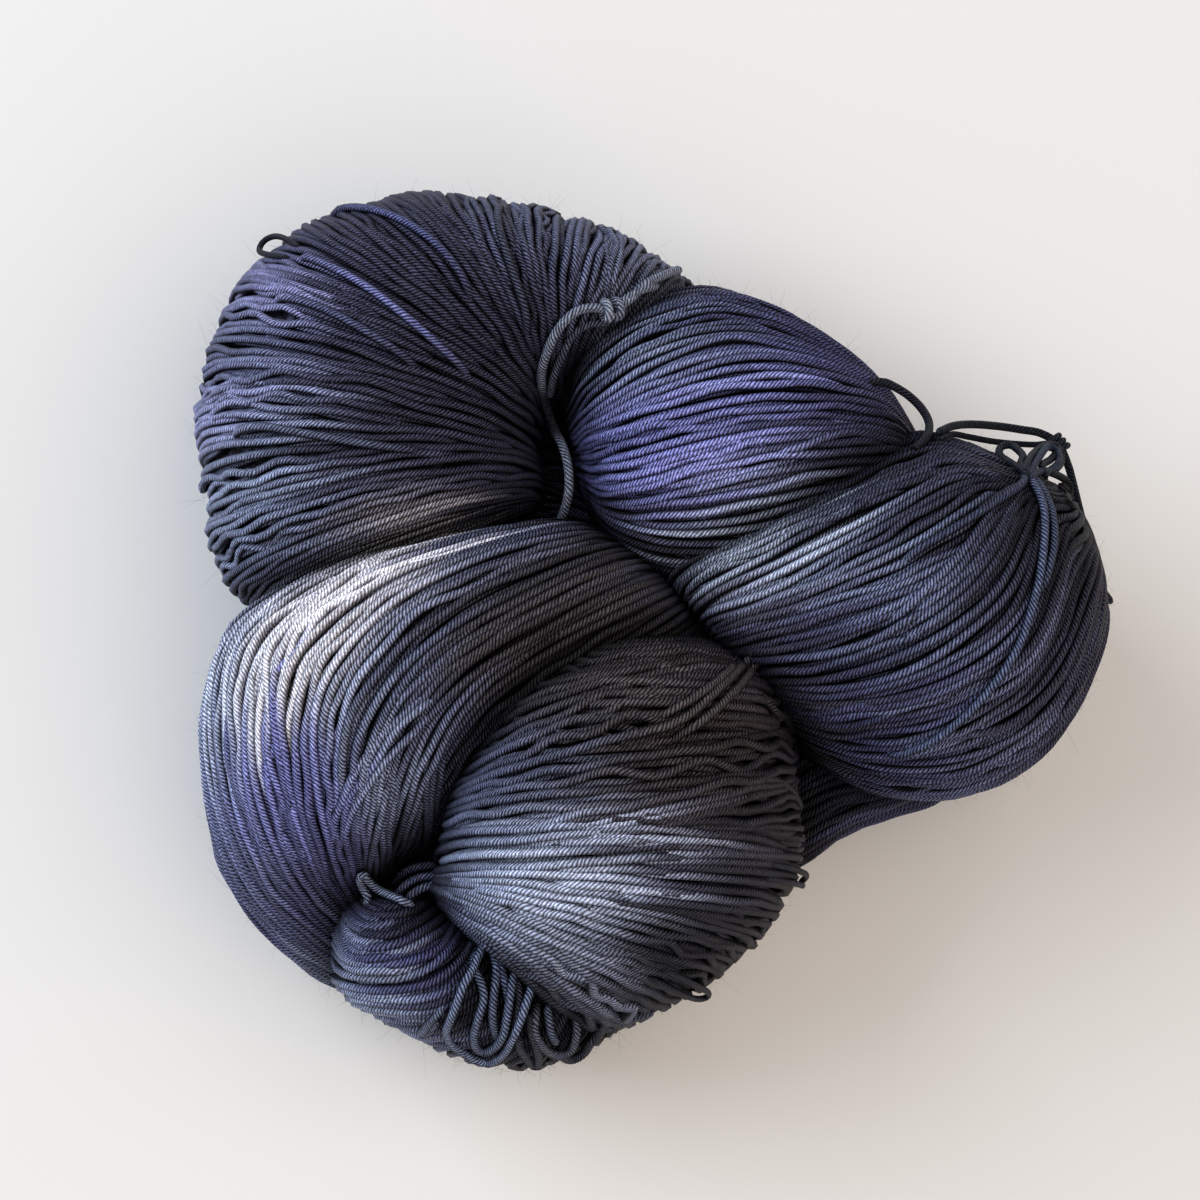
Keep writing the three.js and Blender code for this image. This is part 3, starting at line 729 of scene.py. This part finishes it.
class Bodies:
    """The plain bodies of all bundles, to find what lies inside or under what."""

    SKY = 100  # mm: above every lobe
    TUCK_OVER, TUCK_DEPTH = 4, 2.4  # mm of a draped strand's end that go down, and how far

    def __init__(self):
        self.trees = {}
        for name, bundle in BUNDLES.items():
            points, faces = bundle_body(bundle)
            tree = BVHTree.FromPolygons(points.tolist(), faces)
            self.trees[name] = (tree, points.min(axis=0), points.max(axis=0))

    def near(self, points, own, keep, reach):
        """Each kept point that may be within reach of another bundle, with that bundle's tree."""
        for name, (tree, low, high) in self.trees.items():
            if name != own:
                near = np.all((points > low - reach) & (points < high + reach), axis=-1)
                for i, m in np.argwhere(near & keep):
                    yield i, m, tree

    def shown(self, points, own, keep, deepest=2.4):
        """Which points of the paths aren't deep inside another bundle, and their neighbours."""
        keep = keep.copy()
        for i, m, tree in self.near(points, own, keep, -deepest):
            place, normal, _, distance = tree.find_nearest(points[i, m])
            if distance > deepest and (Vector(points[i, m]) - place).dot(normal) < 0:
                keep[i, m] = False
        wide = keep.copy()
        wide[:, 1:] |= keep[:, :-1]
        wide[:, :-1] |= keep[:, 1:]
        return wide

    def painted_fold_shade(self, points, own, keep, reach=6.0, least=0.26):
        """Painted shade: a factor for the points' colour, lower where another bundle lies close by
        and keeps light off them.
        """
        light = np.ones(keep.shape)
        for i, m, tree in self.near(points, own, keep, reach):
            distance = tree.find_nearest(points[i, m], reach)[3]
            if distance is not None:
                light[i, m] = min(light[i, m], least + (1 - least) * distance / reach)
        return light

    def top(self, x, y):
        """Height of the hank's surface over a place, and the way out of it there."""
        best, way = 0.0, Vector((0, 0, 1))
        for tree, _, _ in self.trees.values():
            place, normal, _, _ = tree.ray_cast((x, y, self.SKY), (0, 0, -1))
            if place is not None and place.z > best:
                best, way = place.z, normal
        return best, np.array(way)

    def drape(self, route, lift, step=0.9):
        """A strand laid over the lobes along a route seen from above, its ends tucked in."""
        fine = spline(route, np.linspace(0, 1, 300))
        flat = even_path(fine, step)
        places = np.linspace(0, length_along(fine)[-1], len(flat))
        tuck = 1 - smooth(np.minimum(places, places[-1] - places) / self.TUCK_OVER)
        path = []
        for (x, y), down in zip(flat, tuck):
            z, way = self.top(x, y)
            path.append(np.array([x, y, z]) + way * (lift - self.TUCK_DEPTH * down))
        return np.array(path)


# ---------------------------------------------------------------- dye


def linear(text):
    """An sRGB hex colour as linear numbers."""
    value = np.array([int(text[k : k + 2], 16) for k in (1, 3, 5)]) / 255
    return np.where(value <= 0.04045, value / 12.92, ((value + 0.055) / 1.055) ** 2.4)


def dye_and_shade_at(points):
    """The colour at points in millimetres, as linear numbers: the dye that the yarn took up there,
    with the painted shade of the pools that stand in for shade.

    The pools are mixed by their square roots, so that dark dye doesn't swallow the pale."""
    total = np.full(points.shape[:-1] + (1,), FIRST_BATH[1])
    colour = total * linear(DYES[FIRST_BATH[0]]) ** 0.5
    for x, y, reach, weight, name in DYE_AND_SHADE_POOLS:
        squared = (points[..., 0] - x) ** 2 + (points[..., 1] - y) ** 2
        share = (weight * np.exp(-squared / reach**2))[..., None]
        total = total + share
        colour = colour + share * linear(DYES[name]) ** 0.5
    return (colour / total) ** 2


def strand_dye_and_shade(points, rng, step, shift=6.5, tone=0.13, uneven=0.08):
    """Colour along strands, of dye and of painted shade: each took the dye up to shift mm sooner or
    later than its neighbours, and is a little lighter or darker as a whole, by tone, and along its
    length, by uneven."""
    count, steps = points.shape[:2]
    i = np.arange(count)[:, None].astype(float)
    shared = drift(rng, i, np.zeros((1, 1)), 5, 50)
    offset = shift * (0.6 * shared + 0.8 * rng.uniform(-1, 1, (count, 1))) / step
    place = np.clip(np.arange(steps)[None, :] + offset, 0, steps - 1.001)
    low = np.floor(place).astype(int)
    part = (place - low)[..., None]
    rows = np.arange(count)[:, None]
    colour = dye_and_shade_at(points[rows, low] * (1 - part) + points[rows, low + 1] * part)
    along = np.arange(steps)[None, :] * step
    tones = 1 + tone * rng.standard_normal((count, 1)).clip(-2, 2.6)
    tones = tones + uneven * drift(rng, i, along, 2, 16)
    return colour * tones[..., None].clip(0.6, 1.6)


# ---------------------------------------------------------------- meshes


def tubes(points, out, radius, sides, dye, keep=None):
    """Tubes round paths, in millimetres: arrays of vertices, faces, caps, UVs and colour of dye and
    painted shade.

    u goes once round the strand, from its inner side, and v is the length along it in mm, which
    starts at another place of the ply pattern for each strand."""
    count, steps = points.shape[:2]
    keep = np.ones((count, steps), bool) if keep is None else keep
    ahead = np.gradient(points, axis=1)
    ahead /= np.linalg.norm(ahead, axis=-1, keepdims=True) + 1e-9
    side = np.cross(ahead, out)
    side /= np.linalg.norm(side, axis=-1, keepdims=True) + 1e-9
    top = np.cross(side, ahead)
    angle = math.pi + np.arange(sides) / sides * TURN
    ring = top[:, :, None] * np.cos(angle)[:, None] + side[:, :, None] * np.sin(angle)[:, None]
    radius = np.broadcast_to(np.asarray(radius, float), (count, steps))
    vertices = points[:, :, None] + ring * radius[:, :, None, None]
    first_v = (np.arange(count) * GOLDEN % 1)[:, None] * PATTERN_LENGTH
    along = length_along(points) + first_v

    solid = keep[:, :-1] & keep[:, 1:]
    strand, ring_at = np.nonzero(solid)
    k = np.arange(sides)
    k_after = (k + 1) % sides
    here = (strand * steps + ring_at)[:, None] * sides
    quads = np.stack([here + k, here + k_after, here + sides + k_after, here + sides + k], axis=-1)
    u = np.stack([k, k + 1, k + 1, k], axis=-1) / sides
    v_here, v_there = along[strand, ring_at], along[strand, ring_at + 1]
    v = np.stack([v_here, v_here, v_there, v_there], axis=-1)
    u, v = np.broadcast_to(u, quads.shape), np.broadcast_to(v[:, None, :], quads.shape)

    starts = np.zeros((count, steps), bool)
    ends = np.zeros((count, steps), bool)
    starts[:, :-1] = solid
    starts[:, 1:-1] &= ~solid[:, :-1]
    ends[:, 1:] = solid
    ends[:, 1:-1] &= ~solid[:, 1:]
    first = np.argwhere(starts) @ np.array([steps, 1])
    final = np.argwhere(ends) @ np.array([steps, 1])
    caps = np.vstack([first[:, None] * sides + k[::-1], final[:, None] * sides + k])
    return {
        "vertices": vertices.reshape(-1, 3),
        "quads": quads.reshape(-1, 4),
        "uv": np.stack([u, v], axis=-1).reshape(-1, 4, 2),
        "caps": [caps],
        "dye": np.repeat(dye.reshape(-1, 3), sides, axis=0),
    }


def joined(parts):
    """One set of arrays from several."""
    start = 0
    whole = {"vertices": [], "quads": [], "uv": [], "caps": [], "dye": []}
    for part in parts:
        for key in ("vertices", "uv", "dye"):
            whole[key].append(part[key])
        whole["quads"].append(part["quads"] + start)
        whole["caps"].extend(caps + start for caps in part["caps"])
        start += len(part["vertices"])
    return {key: value if key == "caps" else np.concatenate(value) for key, value in whole.items()}


def make_piece(name, part, material, replaces=()):
    """A mesh object from arrays in millimetres, with its unused points left out."""
    corners = [part["quads"].ravel()] + [caps.ravel() for caps in part["caps"]]
    used, corners = np.unique(np.concatenate(corners), return_inverse=True)
    sizes = [np.full(len(part["quads"]), 4)]
    sizes += [np.full(len(caps), caps.shape[1]) for caps in part["caps"]]
    sizes = np.concatenate(sizes)
    starts = np.concatenate([[0], np.cumsum(sizes)[:-1]])
    uv = np.full((len(corners), 2), 0.5)
    uv[: part["uv"].size // 2] = part["uv"].reshape(-1, 2)
    dye = np.ones((len(used), 4))
    dye[:, :3] = part["dye"][used]

    mesh = bpy.data.meshes.new(name)
    mesh.vertices.add(len(used))
    mesh.vertices.foreach_set("co", (part["vertices"][used] * MM).astype(np.float32).ravel())
    mesh.loops.add(len(corners))
    mesh.loops.foreach_set("vertex_index", corners.astype(np.int32).ravel())
    mesh.polygons.add(len(sizes))
    mesh.polygons.foreach_set("loop_start", starts.astype(np.int32))
    mesh.uv_layers.new(name="strand").data.foreach_set("uv", uv.astype(np.float32).ravel())
    colours = mesh.color_attributes.new("dye", "FLOAT_COLOR", "POINT")
    colours.data.foreach_set("color", dye.astype(np.float32).ravel())
    mesh.update(calc_edges=True)
    mesh.validate()
    mesh.shade_smooth()
    piece = bpy.data.objects.new(name, mesh)
    bpy.context.scene.collection.objects.link(piece)
    mesh.materials.append(material)
    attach(piece, "root")
    if replaces:
        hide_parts(*replaces)
    return piece


# ---------------------------------------------------------------- materials


def add_node(tree, kind, settings=None, links=None):
    """Adds a node, sets its values by attribute or by input, and links other sockets to it."""
    node = tree.nodes.new(kind)
    for key, value in (settings or {}).items():
        if isinstance(key, int) or key in node.inputs:
            node.inputs[key].default_value = value
        else:
            setattr(node, key, value)
    for key, source in (links or {}).items():
        tree.links.new(source, node.inputs[key])
    return node


def new_material(name):
    """A material with no nodes, and its node tree."""
    material = bpy.data.materials.new(name)
    material.use_nodes = True
    material.node_tree.nodes.clear()
    return material, material.node_tree


def maths(tree, operation, *values):
    """A Math node whose inputs are each a socket or a number."""
    settings, links = {"operation": operation}, {}
    for key, value in enumerate(values):
        if isinstance(value, (int, float)):
            settings[key] = value
        else:
            links[key] = value
    return add_node(tree, "ShaderNodeMath", settings, links).outputs[0]


def ranged(tree, value, from_low, from_high, to_low, to_high):
    """A value moved from one range to another, and kept inside it."""
    settings = {"From Min": from_low, "From Max": from_high, "To Min": to_low, "To Max": to_high}
    return add_node(tree, "ShaderNodeMapRange", settings, {"Value": value}).outputs[0]


def noise(tree, place, size, detail, **settings):
    """Noise whose lumps are about size millimetres."""
    settings = {"Scale": 1 / (size * MM), "Detail": detail, **settings}
    return add_node(tree, "ShaderNodeTexNoise", settings, {"Vector": place}).outputs[0]


def surface(tree, settings, colour, bump):
    """Ends a material with its shader, which has this colour and bump."""
    links = {"Base Color": colour, "Normal": bump}
    shader = add_node(tree, "ShaderNodeBsdfPrincipled", settings, links)
    add_node(tree, "ShaderNodeOutputMaterial", links={"Surface": shader.outputs[0]})


def yarn_material(name, yarn, packed):
    """Plied merino and nylon sock yarn, dyed by hand: round plies with a painted highlight on each
    crown and painted shade in the grooves between them, matt, and with painted shade down both
    sides where a strand lies packed between its neighbours."""
    material, tree = new_material(name)
    uv = add_node(tree, "ShaderNodeUVMap", {"uv_map": "strand"})
    u, v, _ = add_node(tree, "ShaderNodeSeparateXYZ", links={0: uv.outputs[0]}).outputs
    place = add_node(tree, "ShaderNodeTexCoord").outputs["Object"]
    fibre = noise(tree, place, 0.5, 3.0, Roughness=0.62)
    cloud = noise(tree, place, 4, 2.0)
    # plies: the twist is uneven along the yarn, so that their spacing varies
    around = maths(tree, "MULTIPLY", u, yarn.plies)
    along = maths(tree, "MULTIPLY", v, yarn.plies / (yarn.ply_turn / MM))
    loose = maths(tree, "MULTIPLY", cloud, 2.4)
    slant = maths(tree, "ADD", maths(tree, "ADD", around, along), loose)
    ragged = maths(tree, "ADD", slant, maths(tree, "MULTIPLY", fibre, 0.5))
    part = maths(tree, "FRACT", ragged, 0.0)
    ply = maths(tree, "SINE", maths(tree, "MULTIPLY", part, math.pi), 0.0)
    dye = add_node(tree, "ShaderNodeAttribute", {"attribute_name": "dye"})
    # a painted highlight on each ply's crown and painted shade in its grooves, less so where little
    # dye was taken up
    pale = ranged(tree, dye.outputs["Fac"], 0.10, 0.42, 0.0, 1.0)
    groove = maths(tree, "MULTIPLY_ADD", pale, 0.66, 0.16)
    ply_painted_light = ranged(tree, ply, 0.22, 0.95, 0.0, 1.55)
    mottle = ranged(tree, fibre, 0.3, 0.7, 0.55, 1.5)
    tone = maths(tree, "MULTIPLY", maths(tree, "MAXIMUM", ply_painted_light, groove), mottle)
    if packed:
        # painted shade down the strand's sides and a painted highlight along its crown;
        # u starts at the strand's inner side, so the crown of the strand is at its half turn
        inner = maths(tree, "COSINE", maths(tree, "MULTIPLY", u, TURN), 0.0)
        shade = maths(tree, "MULTIPLY_ADD", pale, 0.72, 0.05)
        side = maths(tree, "MAXIMUM", ranged(tree, inner, -0.20, -0.97, 0.0, 1.45), shade)
        tone = maths(tree, "MULTIPLY", tone, side)
    links = {0: dye.outputs["Color"], "Scale": tone}
    colour = add_node(tree, "ShaderNodeVectorMath", {"operation": "SCALE"}, links).outputs[0]
    height = maths(tree, "ADD", ply, maths(tree, "MULTIPLY", fibre, 0.30))
    settings = {"Strength": 1.0, "Distance": yarn.groove}
    bump = add_node(tree, "ShaderNodeBump", settings, {"Height": height})
    # a fine halo of fibre ends gives a very faint sheen
    finish = {"Roughness": 0.44, "Specular IOR Level": 0.15, "Sheen Weight": 0.01}
    finish.update({"Sheen Roughness": 0.4, "Sheen Tint": (0.90, 0.84, 0.92, 1.0)})
    surface(tree, finish, colour, bump.outputs[0])
    return material


def table_material(colour):
    """A table top in matt pale emulsion: smooth, with a very faint roller texture."""
    material, tree = new_material("painted_table")
    place = add_node(tree, "ShaderNodeTexCoord").outputs["Object"]
    roller = noise(tree, place, 2.5, 2.0)
    cloud = noise(tree, place, 160, 1.0)
    # the Mix node's colour inputs are its seventh and eighth, and its colour is its third output
    warmer = (colour[0] * 1.03, colour[1], colour[2] * 0.96, 1)
    settings = {"data_type": "RGBA", 6: (*colour, 1), 7: warmer}
    tint = add_node(tree, "ShaderNodeMix", settings, {0: cloud}).outputs[2]
    settings = {"Strength": 0.06, "Distance": 0.1 * MM}
    bump = add_node(tree, "ShaderNodeBump", settings, {"Height": roller})
    surface(tree, {"Roughness": 0.7, "Specular IOR Level": 0.3}, tint, bump.outputs[0])
    return material


def yarn_finish(yarn, packed=True):
    """The yarn's material, made once: for strands that lie packed, or loose."""
    name = "plied_yarn_wound" if packed else "plied_yarn_loose"
    return bpy.data.materials.get(name) or yarn_material(name, yarn, packed)


# ---------------------------------------------------------------- loose strands


def route_path(route):
    """A smooth path in millimetres through a route of the part's tables, at even steps."""
    return even_path(spline(np.array(route) / MM, np.linspace(0, 1, 600)) - MIDDLE, LOOSE_STEP)


def free_path(points):
    """A smooth path through points in millimetres from the part's middle, at even steps."""
    return even_path(spline(points, np.linspace(0, 1, 400)), LOOSE_STEP)


def strand_tube(path, diameter, tint, sides=9, fade=0.0):
    """One strand, with its end tips rounded in. Over the share fade of its length at either end
    its tint goes over into the colour of its place, of dye and painted shade."""
    ways = np.broadcast_to(np.array([0.02, 0.03, 1.0]), path.shape)
    dye = np.broadcast_to(linear(tint), path.shape)
    if fade:
        line = length_along(path) / length_along(path)[-1]
        own = smooth(np.minimum(line, 1 - line) / fade)[:, None]
        dye = own * dye + (1 - own) * dye_and_shade_at(path)
    radius = np.full(len(path), diameter / 2)
    radius[[0, -1]] *= TIP
    return tubes(path[None], ways[None], radius[None], sides, dye[None])


def wrapped(path, at, turns, radius, spread, rise, steps=44):
    """A strand wound round a path at one of its points, in millimetres."""
    ahead = path[min(at + 3, len(path) - 1)] - path[max(at - 3, 0)]
    ahead = ahead / np.linalg.norm(ahead)
    side = np.cross(ahead, (0, 0, 1))
    side /= np.linalg.norm(side)
    top = np.cross(side, ahead)
    turn = np.linspace(0, turns * TURN, steps)
    advance = np.linspace(-0.5, 0.5, steps) * spread + rise
    ring = np.cos(turn)[:, None] * side + np.sin(turn)[:, None] * top
    return path[at] + ring * radius + advance[:, None] * ahead


def wraps(path, knot_at, tie, table):
    """The strands of a table that are wound round a tie at the point knot_at of its route."""
    knot_at = np.array(knot_at) / MM - MIDDLE
    at = int(np.argmin(np.linalg.norm(path - knot_at, axis=1)))
    return [
        strand_tube(wrapped(path, at, turns, tie * radius, spread, rise), tie * thickness, tint)
        for turns, radius, spread, rise, thickness, tint in table
    ]


class SKEIN_OT_camera(bpy.types.Operator):
    """Add the camera, looking down on the skein"""

    bl_idname = "skein.camera"
    bl_label = "Camera"

    def execute(self, context):
        stage = context.scene.skein_stage
        ahead = Vector((0, math.cos(stage.elevation), -math.sin(stage.elevation)))
        up = Vector((0, math.sin(stage.elevation), math.cos(stage.elevation)))
        # the middle of the skein stands right of and below the middle of the picture
        middle = Vector((-MIDDLE[0] * MM, -MIDDLE[1] * MM, AIM_HEIGHT * MM))
        aim = middle - Vector((AIM_LEFT * MM, 0, 0)) + up * (AIM_ABOVE * MM)
        data = bpy.data.cameras.new("camera")
        data.lens = stage.lens
        data.clip_start = 10 * MM
        camera = bpy.data.objects.new("camera", data)
        camera.location = aim - ahead * stage.distance
        camera.rotation_euler = ahead.to_track_quat("-Z", "Y").to_euler()
        context.scene.collection.objects.link(camera)
        context.scene.camera = camera
        return {"FINISHED"}


class SKEIN_OT_ties(bpy.types.Operator):
    """Add the strands that tie the hank, their knots and the slack strand of the winding"""

    bl_idname = "skein.ties"
    bl_label = "Ties and slack strand"

    def execute(self, context):
        yarn = context.scene.skein_yarn
        finish = yarn_finish(yarn, packed=False)
        tie = yarn.tie_diameter / MM
        self.add_upper(finish, tie)
        self.add_right(finish, tie * RIGHT_TIE)
        self.add_slack(finish, yarn.slack_diameter / MM)
        return {"FINISHED"}

    def declare(self, piece, path, diameter, far_end, others=()):
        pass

    def add_upper(self, finish, tie):
        path = route_path(TIE_UPPER_ROUTE)[::-1]
        # between the knot and its last stretch it lies down among the windings, where a painted
        # shadow darkens it
        away = np.linalg.norm(path - UPPER_HIDDEN, axis=1)
        path[:, 2] -= HIDDEN_DEPTH * np.exp(-((away / HIDDEN_REACH) ** 2))
        part = strand_tube(path, tie, UPPER_LIGHT)
        away = np.linalg.norm(part["vertices"] - UPPER_HIDDEN, axis=1)
        # painted shadow: the tie's colour darkened where it lies down among the windings
        part["dye"] = part["dye"] * (1 - 0.85 * np.exp(-((away / SHADOW_REACH) ** 4)))[:, None]
        cord = make_piece("tie_upper_strand", part, finish, ["tie_upper"])
        parts = [
            strand_tube(free_path(UPPER_SECOND), tie * 0.85, UPPER_DARK),
            strand_tube(free_path(UPPER_STUB), tie * 0.85, UPPER_LIGHT),
            *wraps(path, UPPER_KNOT, tie, UPPER_WRAPS),
        ]
        knot = make_piece("tie_upper_knot", joined(parts), finish, ["knot_upper"])
        self.declare(cord, path, tie, "bare", [knot])

    def add_right(self, finish, tie):
        path = route_path(TIE_RIGHT_ROUTE)
        bodies = Bodies()
        part = strand_tube(path, tie, "#1e222c")
        cord = make_piece("tie_right_strand", part, finish, ["tie_right"])
        parts = [
            strand_tube(free_path(RIGHT_SECOND), tie * 0.75, "#1c1f29"),
            *wraps(path, RIGHT_KNOT, tie, RIGHT_WRAPS),
        ]
        for tint, *points in RIGHT_LOOPS:
            loop = free_path(points)
            for point in loop:
                point[2] = max(point[2], bodies.top(point[0], point[1])[0] + LOOP_RISE)
            parts.append(strand_tube(loop, tie * 0.95, tint))
        knot = make_piece("tie_right_knot", joined(parts), finish, ["knot_right"])
        self.declare(cord, path, tie, "bare", [knot])

    def add_slack(self, finish, diameter):
        path = route_path(SLACK_ROUTE)
        # its first stretch lies down among the windings that it comes out of
        sunk = SLACK_SUNK * (1 - smooth((length_along(path) - SLACK_HIDDEN) / SLACK_COMES_UP))
        tree = Bodies().trees["back_right"][0]
        for k in np.flatnonzero(sunk > 0.01):
            path[k] -= np.array(tree.find_nearest(path[k])[1]) * sunk[k]
        part = strand_tube(path, diameter, "#23242f")
        cord = make_piece("slack_turn", part, finish, ["slack_strand"])
        self.declare(cord, path, diameter, "object")


class SKEIN_OT_windings(bpy.types.Operator):
    """Add the windings of every bundle: an outer layer of strands, one beneath it, and strays"""

    bl_idname = "skein.windings"
    bl_label = "Windings"

    def execute(self, context):
        yarn = context.scene.skein_yarn
        finish = yarn_finish(yarn)
        radius, pitch, step = (value / MM for value in (yarn.diameter / 2, yarn.pitch, yarn.step))
        bodies = Bodies()
        for number, (name, bundle) in enumerate(BUNDLES.items()):
            rng = np.random.default_rng(yarn.seed + number)
            own_radius, own_pitch = (bundle.get("yarn", 1.0) * value for value in (radius, pitch))
            strays, cross = bundle.get("strays", 0.28), bundle.get("cross", 4.5)
            outer, inner = Winding(bundle, own_pitch), Winding(bundle, own_pitch * INNER_PITCH)
            top = -own_radius - OUTER_DEPTH
            low, coarse_step = top - INNER_DEPTH, step * INNER_STEP
            # the inner strands lie between the outer ones, and slant by two strands
            layers = [
                (outer.layer(rng, step, top), yarn.sides, 1.0),
                (inner.layer(rng, coarse_step, low, 0.5, rng.choice([-2, 2])), 5, INNER_SHADE),
                (outer.strays(rng, strays, cross, top), yarn.sides, STRAY_SHADE),
            ]
            parts = []
            for (points, out, keep, scale, length), sides, tone in layers:
                points = rest_on_table(points, own_radius)
                keep = bodies.shown(points, name, keep)
                # each layer's tone: painted shade darkens the inner layer; the strays are a little
                # lighter
                dye = strand_dye_and_shade(points, rng, length) * tone
                # painted shade: the colour darkened where another bundle lies close by
                dye = dye * bodies.painted_fold_shade(points, name, keep)[..., None]
                parts.append(tubes(points, out, own_radius * scale, sides, dye, keep))
            make_piece("windings_" + name, joined(parts), finish, ["skein"])
        return {"FINISHED"}


class SKEIN_OT_loose_turns(bpy.types.Operator):
    """Add single strands that lie over the lobes, and small loops that stand out of them"""

    bl_idname = "skein.loose_turns"
    bl_label = "Loose turns"

    def execute(self, context):
        yarn = context.scene.skein_yarn
        diameter = yarn.diameter / MM
        bodies = Bodies()
        parts = []
        for group in OVER_LOBES:
            for tint, *route in group["strands"]:
                path = bodies.drape(route, group["lift"])
                parts.append(strand_tube(path, diameter, tint, fade=group["fade"]))
        for name, loops in LOOSE_LOOPS.items():
            for loop in loops:
                parts.append(self.loop(BUNDLES[name]["rows"], loop))
        for tint, *points in END_TURNS:
            parts.append(strand_tube(free_path(points), diameter * END_TURN_SIZE, tint))
        make_piece("loose_turns", joined(parts), yarn_finish(yarn), ["skein"])
        return {"FINISHED"}

    def loop(self, rows, table, diameter=0.9, tint="#20222e"):
        fine = spline(table, np.linspace(0, 1, 200))
        points, _ = on_bundle(rows, fine[:, 0], fine[:, 1] * math.pi, fine[:, 2])
        path = rest_on_table(even_path(points, 0.8), diameter / 2)
        return strand_tube(path, diameter, tint, sides=8)


class SKEIN_OT_fuzz(bpy.types.Operator):
    """Add the fine fibres that stand off the surface of the yarn"""

    bl_idname = "skein.fuzz"
    bl_label = "Loose fibres"

    def execute(self, context):
        yarn = context.scene.skein_yarn
        rng = np.random.default_rng(yarn.seed + 90)
        starts, ways = [], []
        for name, bundle in BUNDLES.items():
            if name not in UNSEEN:
                t = rng.uniform(0.04, 0.96, FIBRES)
                angle = rng.uniform(-0.08 * math.pi, 1.08 * math.pi, FIBRES)
                points, out = on_bundle(bundle["rows"], t, angle, FIBRE_ROOT)
                starts.append(points)
                ways.append(out)
        starts, ways = np.concatenate(starts), np.concatenate(ways)
        line = np.linspace(0, 1, FIBRE_POINTS)[None, :, None]
        length = rng.uniform(*FIBRE_LENGTHS, (len(starts), 1, 1))
        sideways = rng.standard_normal((len(starts), 1, 3))
        bend = rng.standard_normal((len(starts), 1, 3))
        reach = ways[:, None] * line * FIBRE_OUT + sideways * line * FIBRE_SIDEWAYS
        paths = starts[:, None] + length * (reach + bend * line**2 * FIBRE_BEND)
        paths = rest_on_table(paths, FIBRE_LOWEST)
        radius = FIBRE_RADIUS * (1 - FIBRE_TAPER * line[..., 0])
        radius = np.broadcast_to(radius, paths.shape[:2])
        ups = np.broadcast_to([0.03, 0.02, 1.0], paths.shape)
        part = tubes(paths, ups, radius, 3, dye_and_shade_at(paths) * FIBRE_SHADE)
        make_piece("loose_fibres", part, yarn_finish(yarn, packed=False), ["skein"])
        return {"FINISHED"}


class SKEIN_OT_core(bpy.types.Operator):
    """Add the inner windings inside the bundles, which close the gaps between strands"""

    bl_idname = "skein.core"
    bl_label = "Inner windings"

    def execute(self, context):
        parts = []
        for bundle in BUNDLES.values():
            points, faces = bundle_body(bundle, lift=-CORE_DEPTH, rings=31, sides=32)
            points = rest_on_table(points, CORE_HEIGHT)
            quads, caps = (np.array([f for f in faces if len(f) == size]) for size in (4, 3))
            # painted shade: the inner windings at a quarter of the dye's colour, dark as the gaps
            # between strands
            uv, dye = np.full((len(quads), 4, 2), 0.5), dye_and_shade_at(points) * CORE_SHADE
            parts.append({"vertices": points, "quads": quads, "uv": uv, "caps": [caps], "dye": dye})
        yarn = context.scene.skein_yarn
        make_piece("inner_windings", joined(parts), yarn_finish(yarn), ["skein"])
        return {"FINISHED"}


class SKEIN_OT_stage(bpy.types.Operator):
    """Add the table top, a cool window on the left, a weak warm lamp and the light of the room"""

    bl_idname = "skein.stage"
    bl_label = "Table and light"

    def execute(self, context):
        stage = context.scene.skein_stage
        bpy.ops.mesh.primitive_plane_add(size=4.0, location=(0, 0, 0))
        table = context.object
        table.name = "table_top"
        table.data.materials.append(table_material(stage.table_colour))
        for name, place, size, colour in LIGHTS:
            data = bpy.data.lights.new(name, "AREA")
            data.size = size
            data.energy = getattr(stage, name + "_power")
            data.color = colour
            light = bpy.data.objects.new(name, data)
            light.location = place
            light.rotation_euler = (-Vector(place)).to_track_quat("-Z", "Y").to_euler()
            context.scene.collection.objects.link(light)
        world = bpy.data.worlds.new("room_light")
        world.use_nodes = True
        background = world.node_tree.nodes["Background"]
        background.inputs["Color"].default_value = ROOM_COLOUR
        background.inputs["Strength"].default_value = stage.room_light
        context.scene.world = world
        context.scene.view_settings.view_transform = "Standard"
        context.scene.view_settings.look = "Medium High Contrast"
        return {"FINISHED"}


class SKEIN_PT_panel(bpy.types.Panel):
    """Lists the pieces of the skein and its settings"""

    bl_idname = "SKEIN_PT_panel"
    bl_label = "Skein of yarn"
    bl_space_type = "VIEW_3D"
    bl_region_type = "UI"
    bl_category = "Skein"

    def draw(self, context):
        layout = self.layout
        for settings in (context.scene.skein_yarn, context.scene.skein_stage):
            box = layout.box()
            for name in settings.__annotations__:
                box.prop(settings, name)
        for operator in OPERATORS:
            layout.operator(operator.bl_idname)


OPERATORS = (
    SKEIN_OT_camera,
    SKEIN_OT_ties,
    SKEIN_OT_windings,
    SKEIN_OT_loose_turns,
    SKEIN_OT_fuzz,
    SKEIN_OT_core,
    SKEIN_OT_stage,
)
CLASSES = (YarnSettings, StageSettings, *OPERATORS, SKEIN_PT_panel)


def register():
    for cls in CLASSES:
        bpy.utils.register_class(cls)
    bpy.types.Scene.skein_yarn = bpy.props.PointerProperty(type=YarnSettings)
    bpy.types.Scene.skein_stage = bpy.props.PointerProperty(type=StageSettings)


def unregister():
    del bpy.types.Scene.skein_yarn
    del bpy.types.Scene.skein_stage
    for cls in reversed(CLASSES):
        bpy.utils.unregister_class(cls)


def main():
    register()
    bpy.ops.object.select_all(action="DESELECT")
    bpy.ops.skein.camera()
    bpy.ops.skein.ties()
    bpy.ops.skein.windings()
    bpy.ops.skein.loose_turns()
    bpy.ops.skein.fuzz()
    bpy.ops.skein.core()
    bpy.ops.skein.stage()


if __name__ == "__main__":
    main()
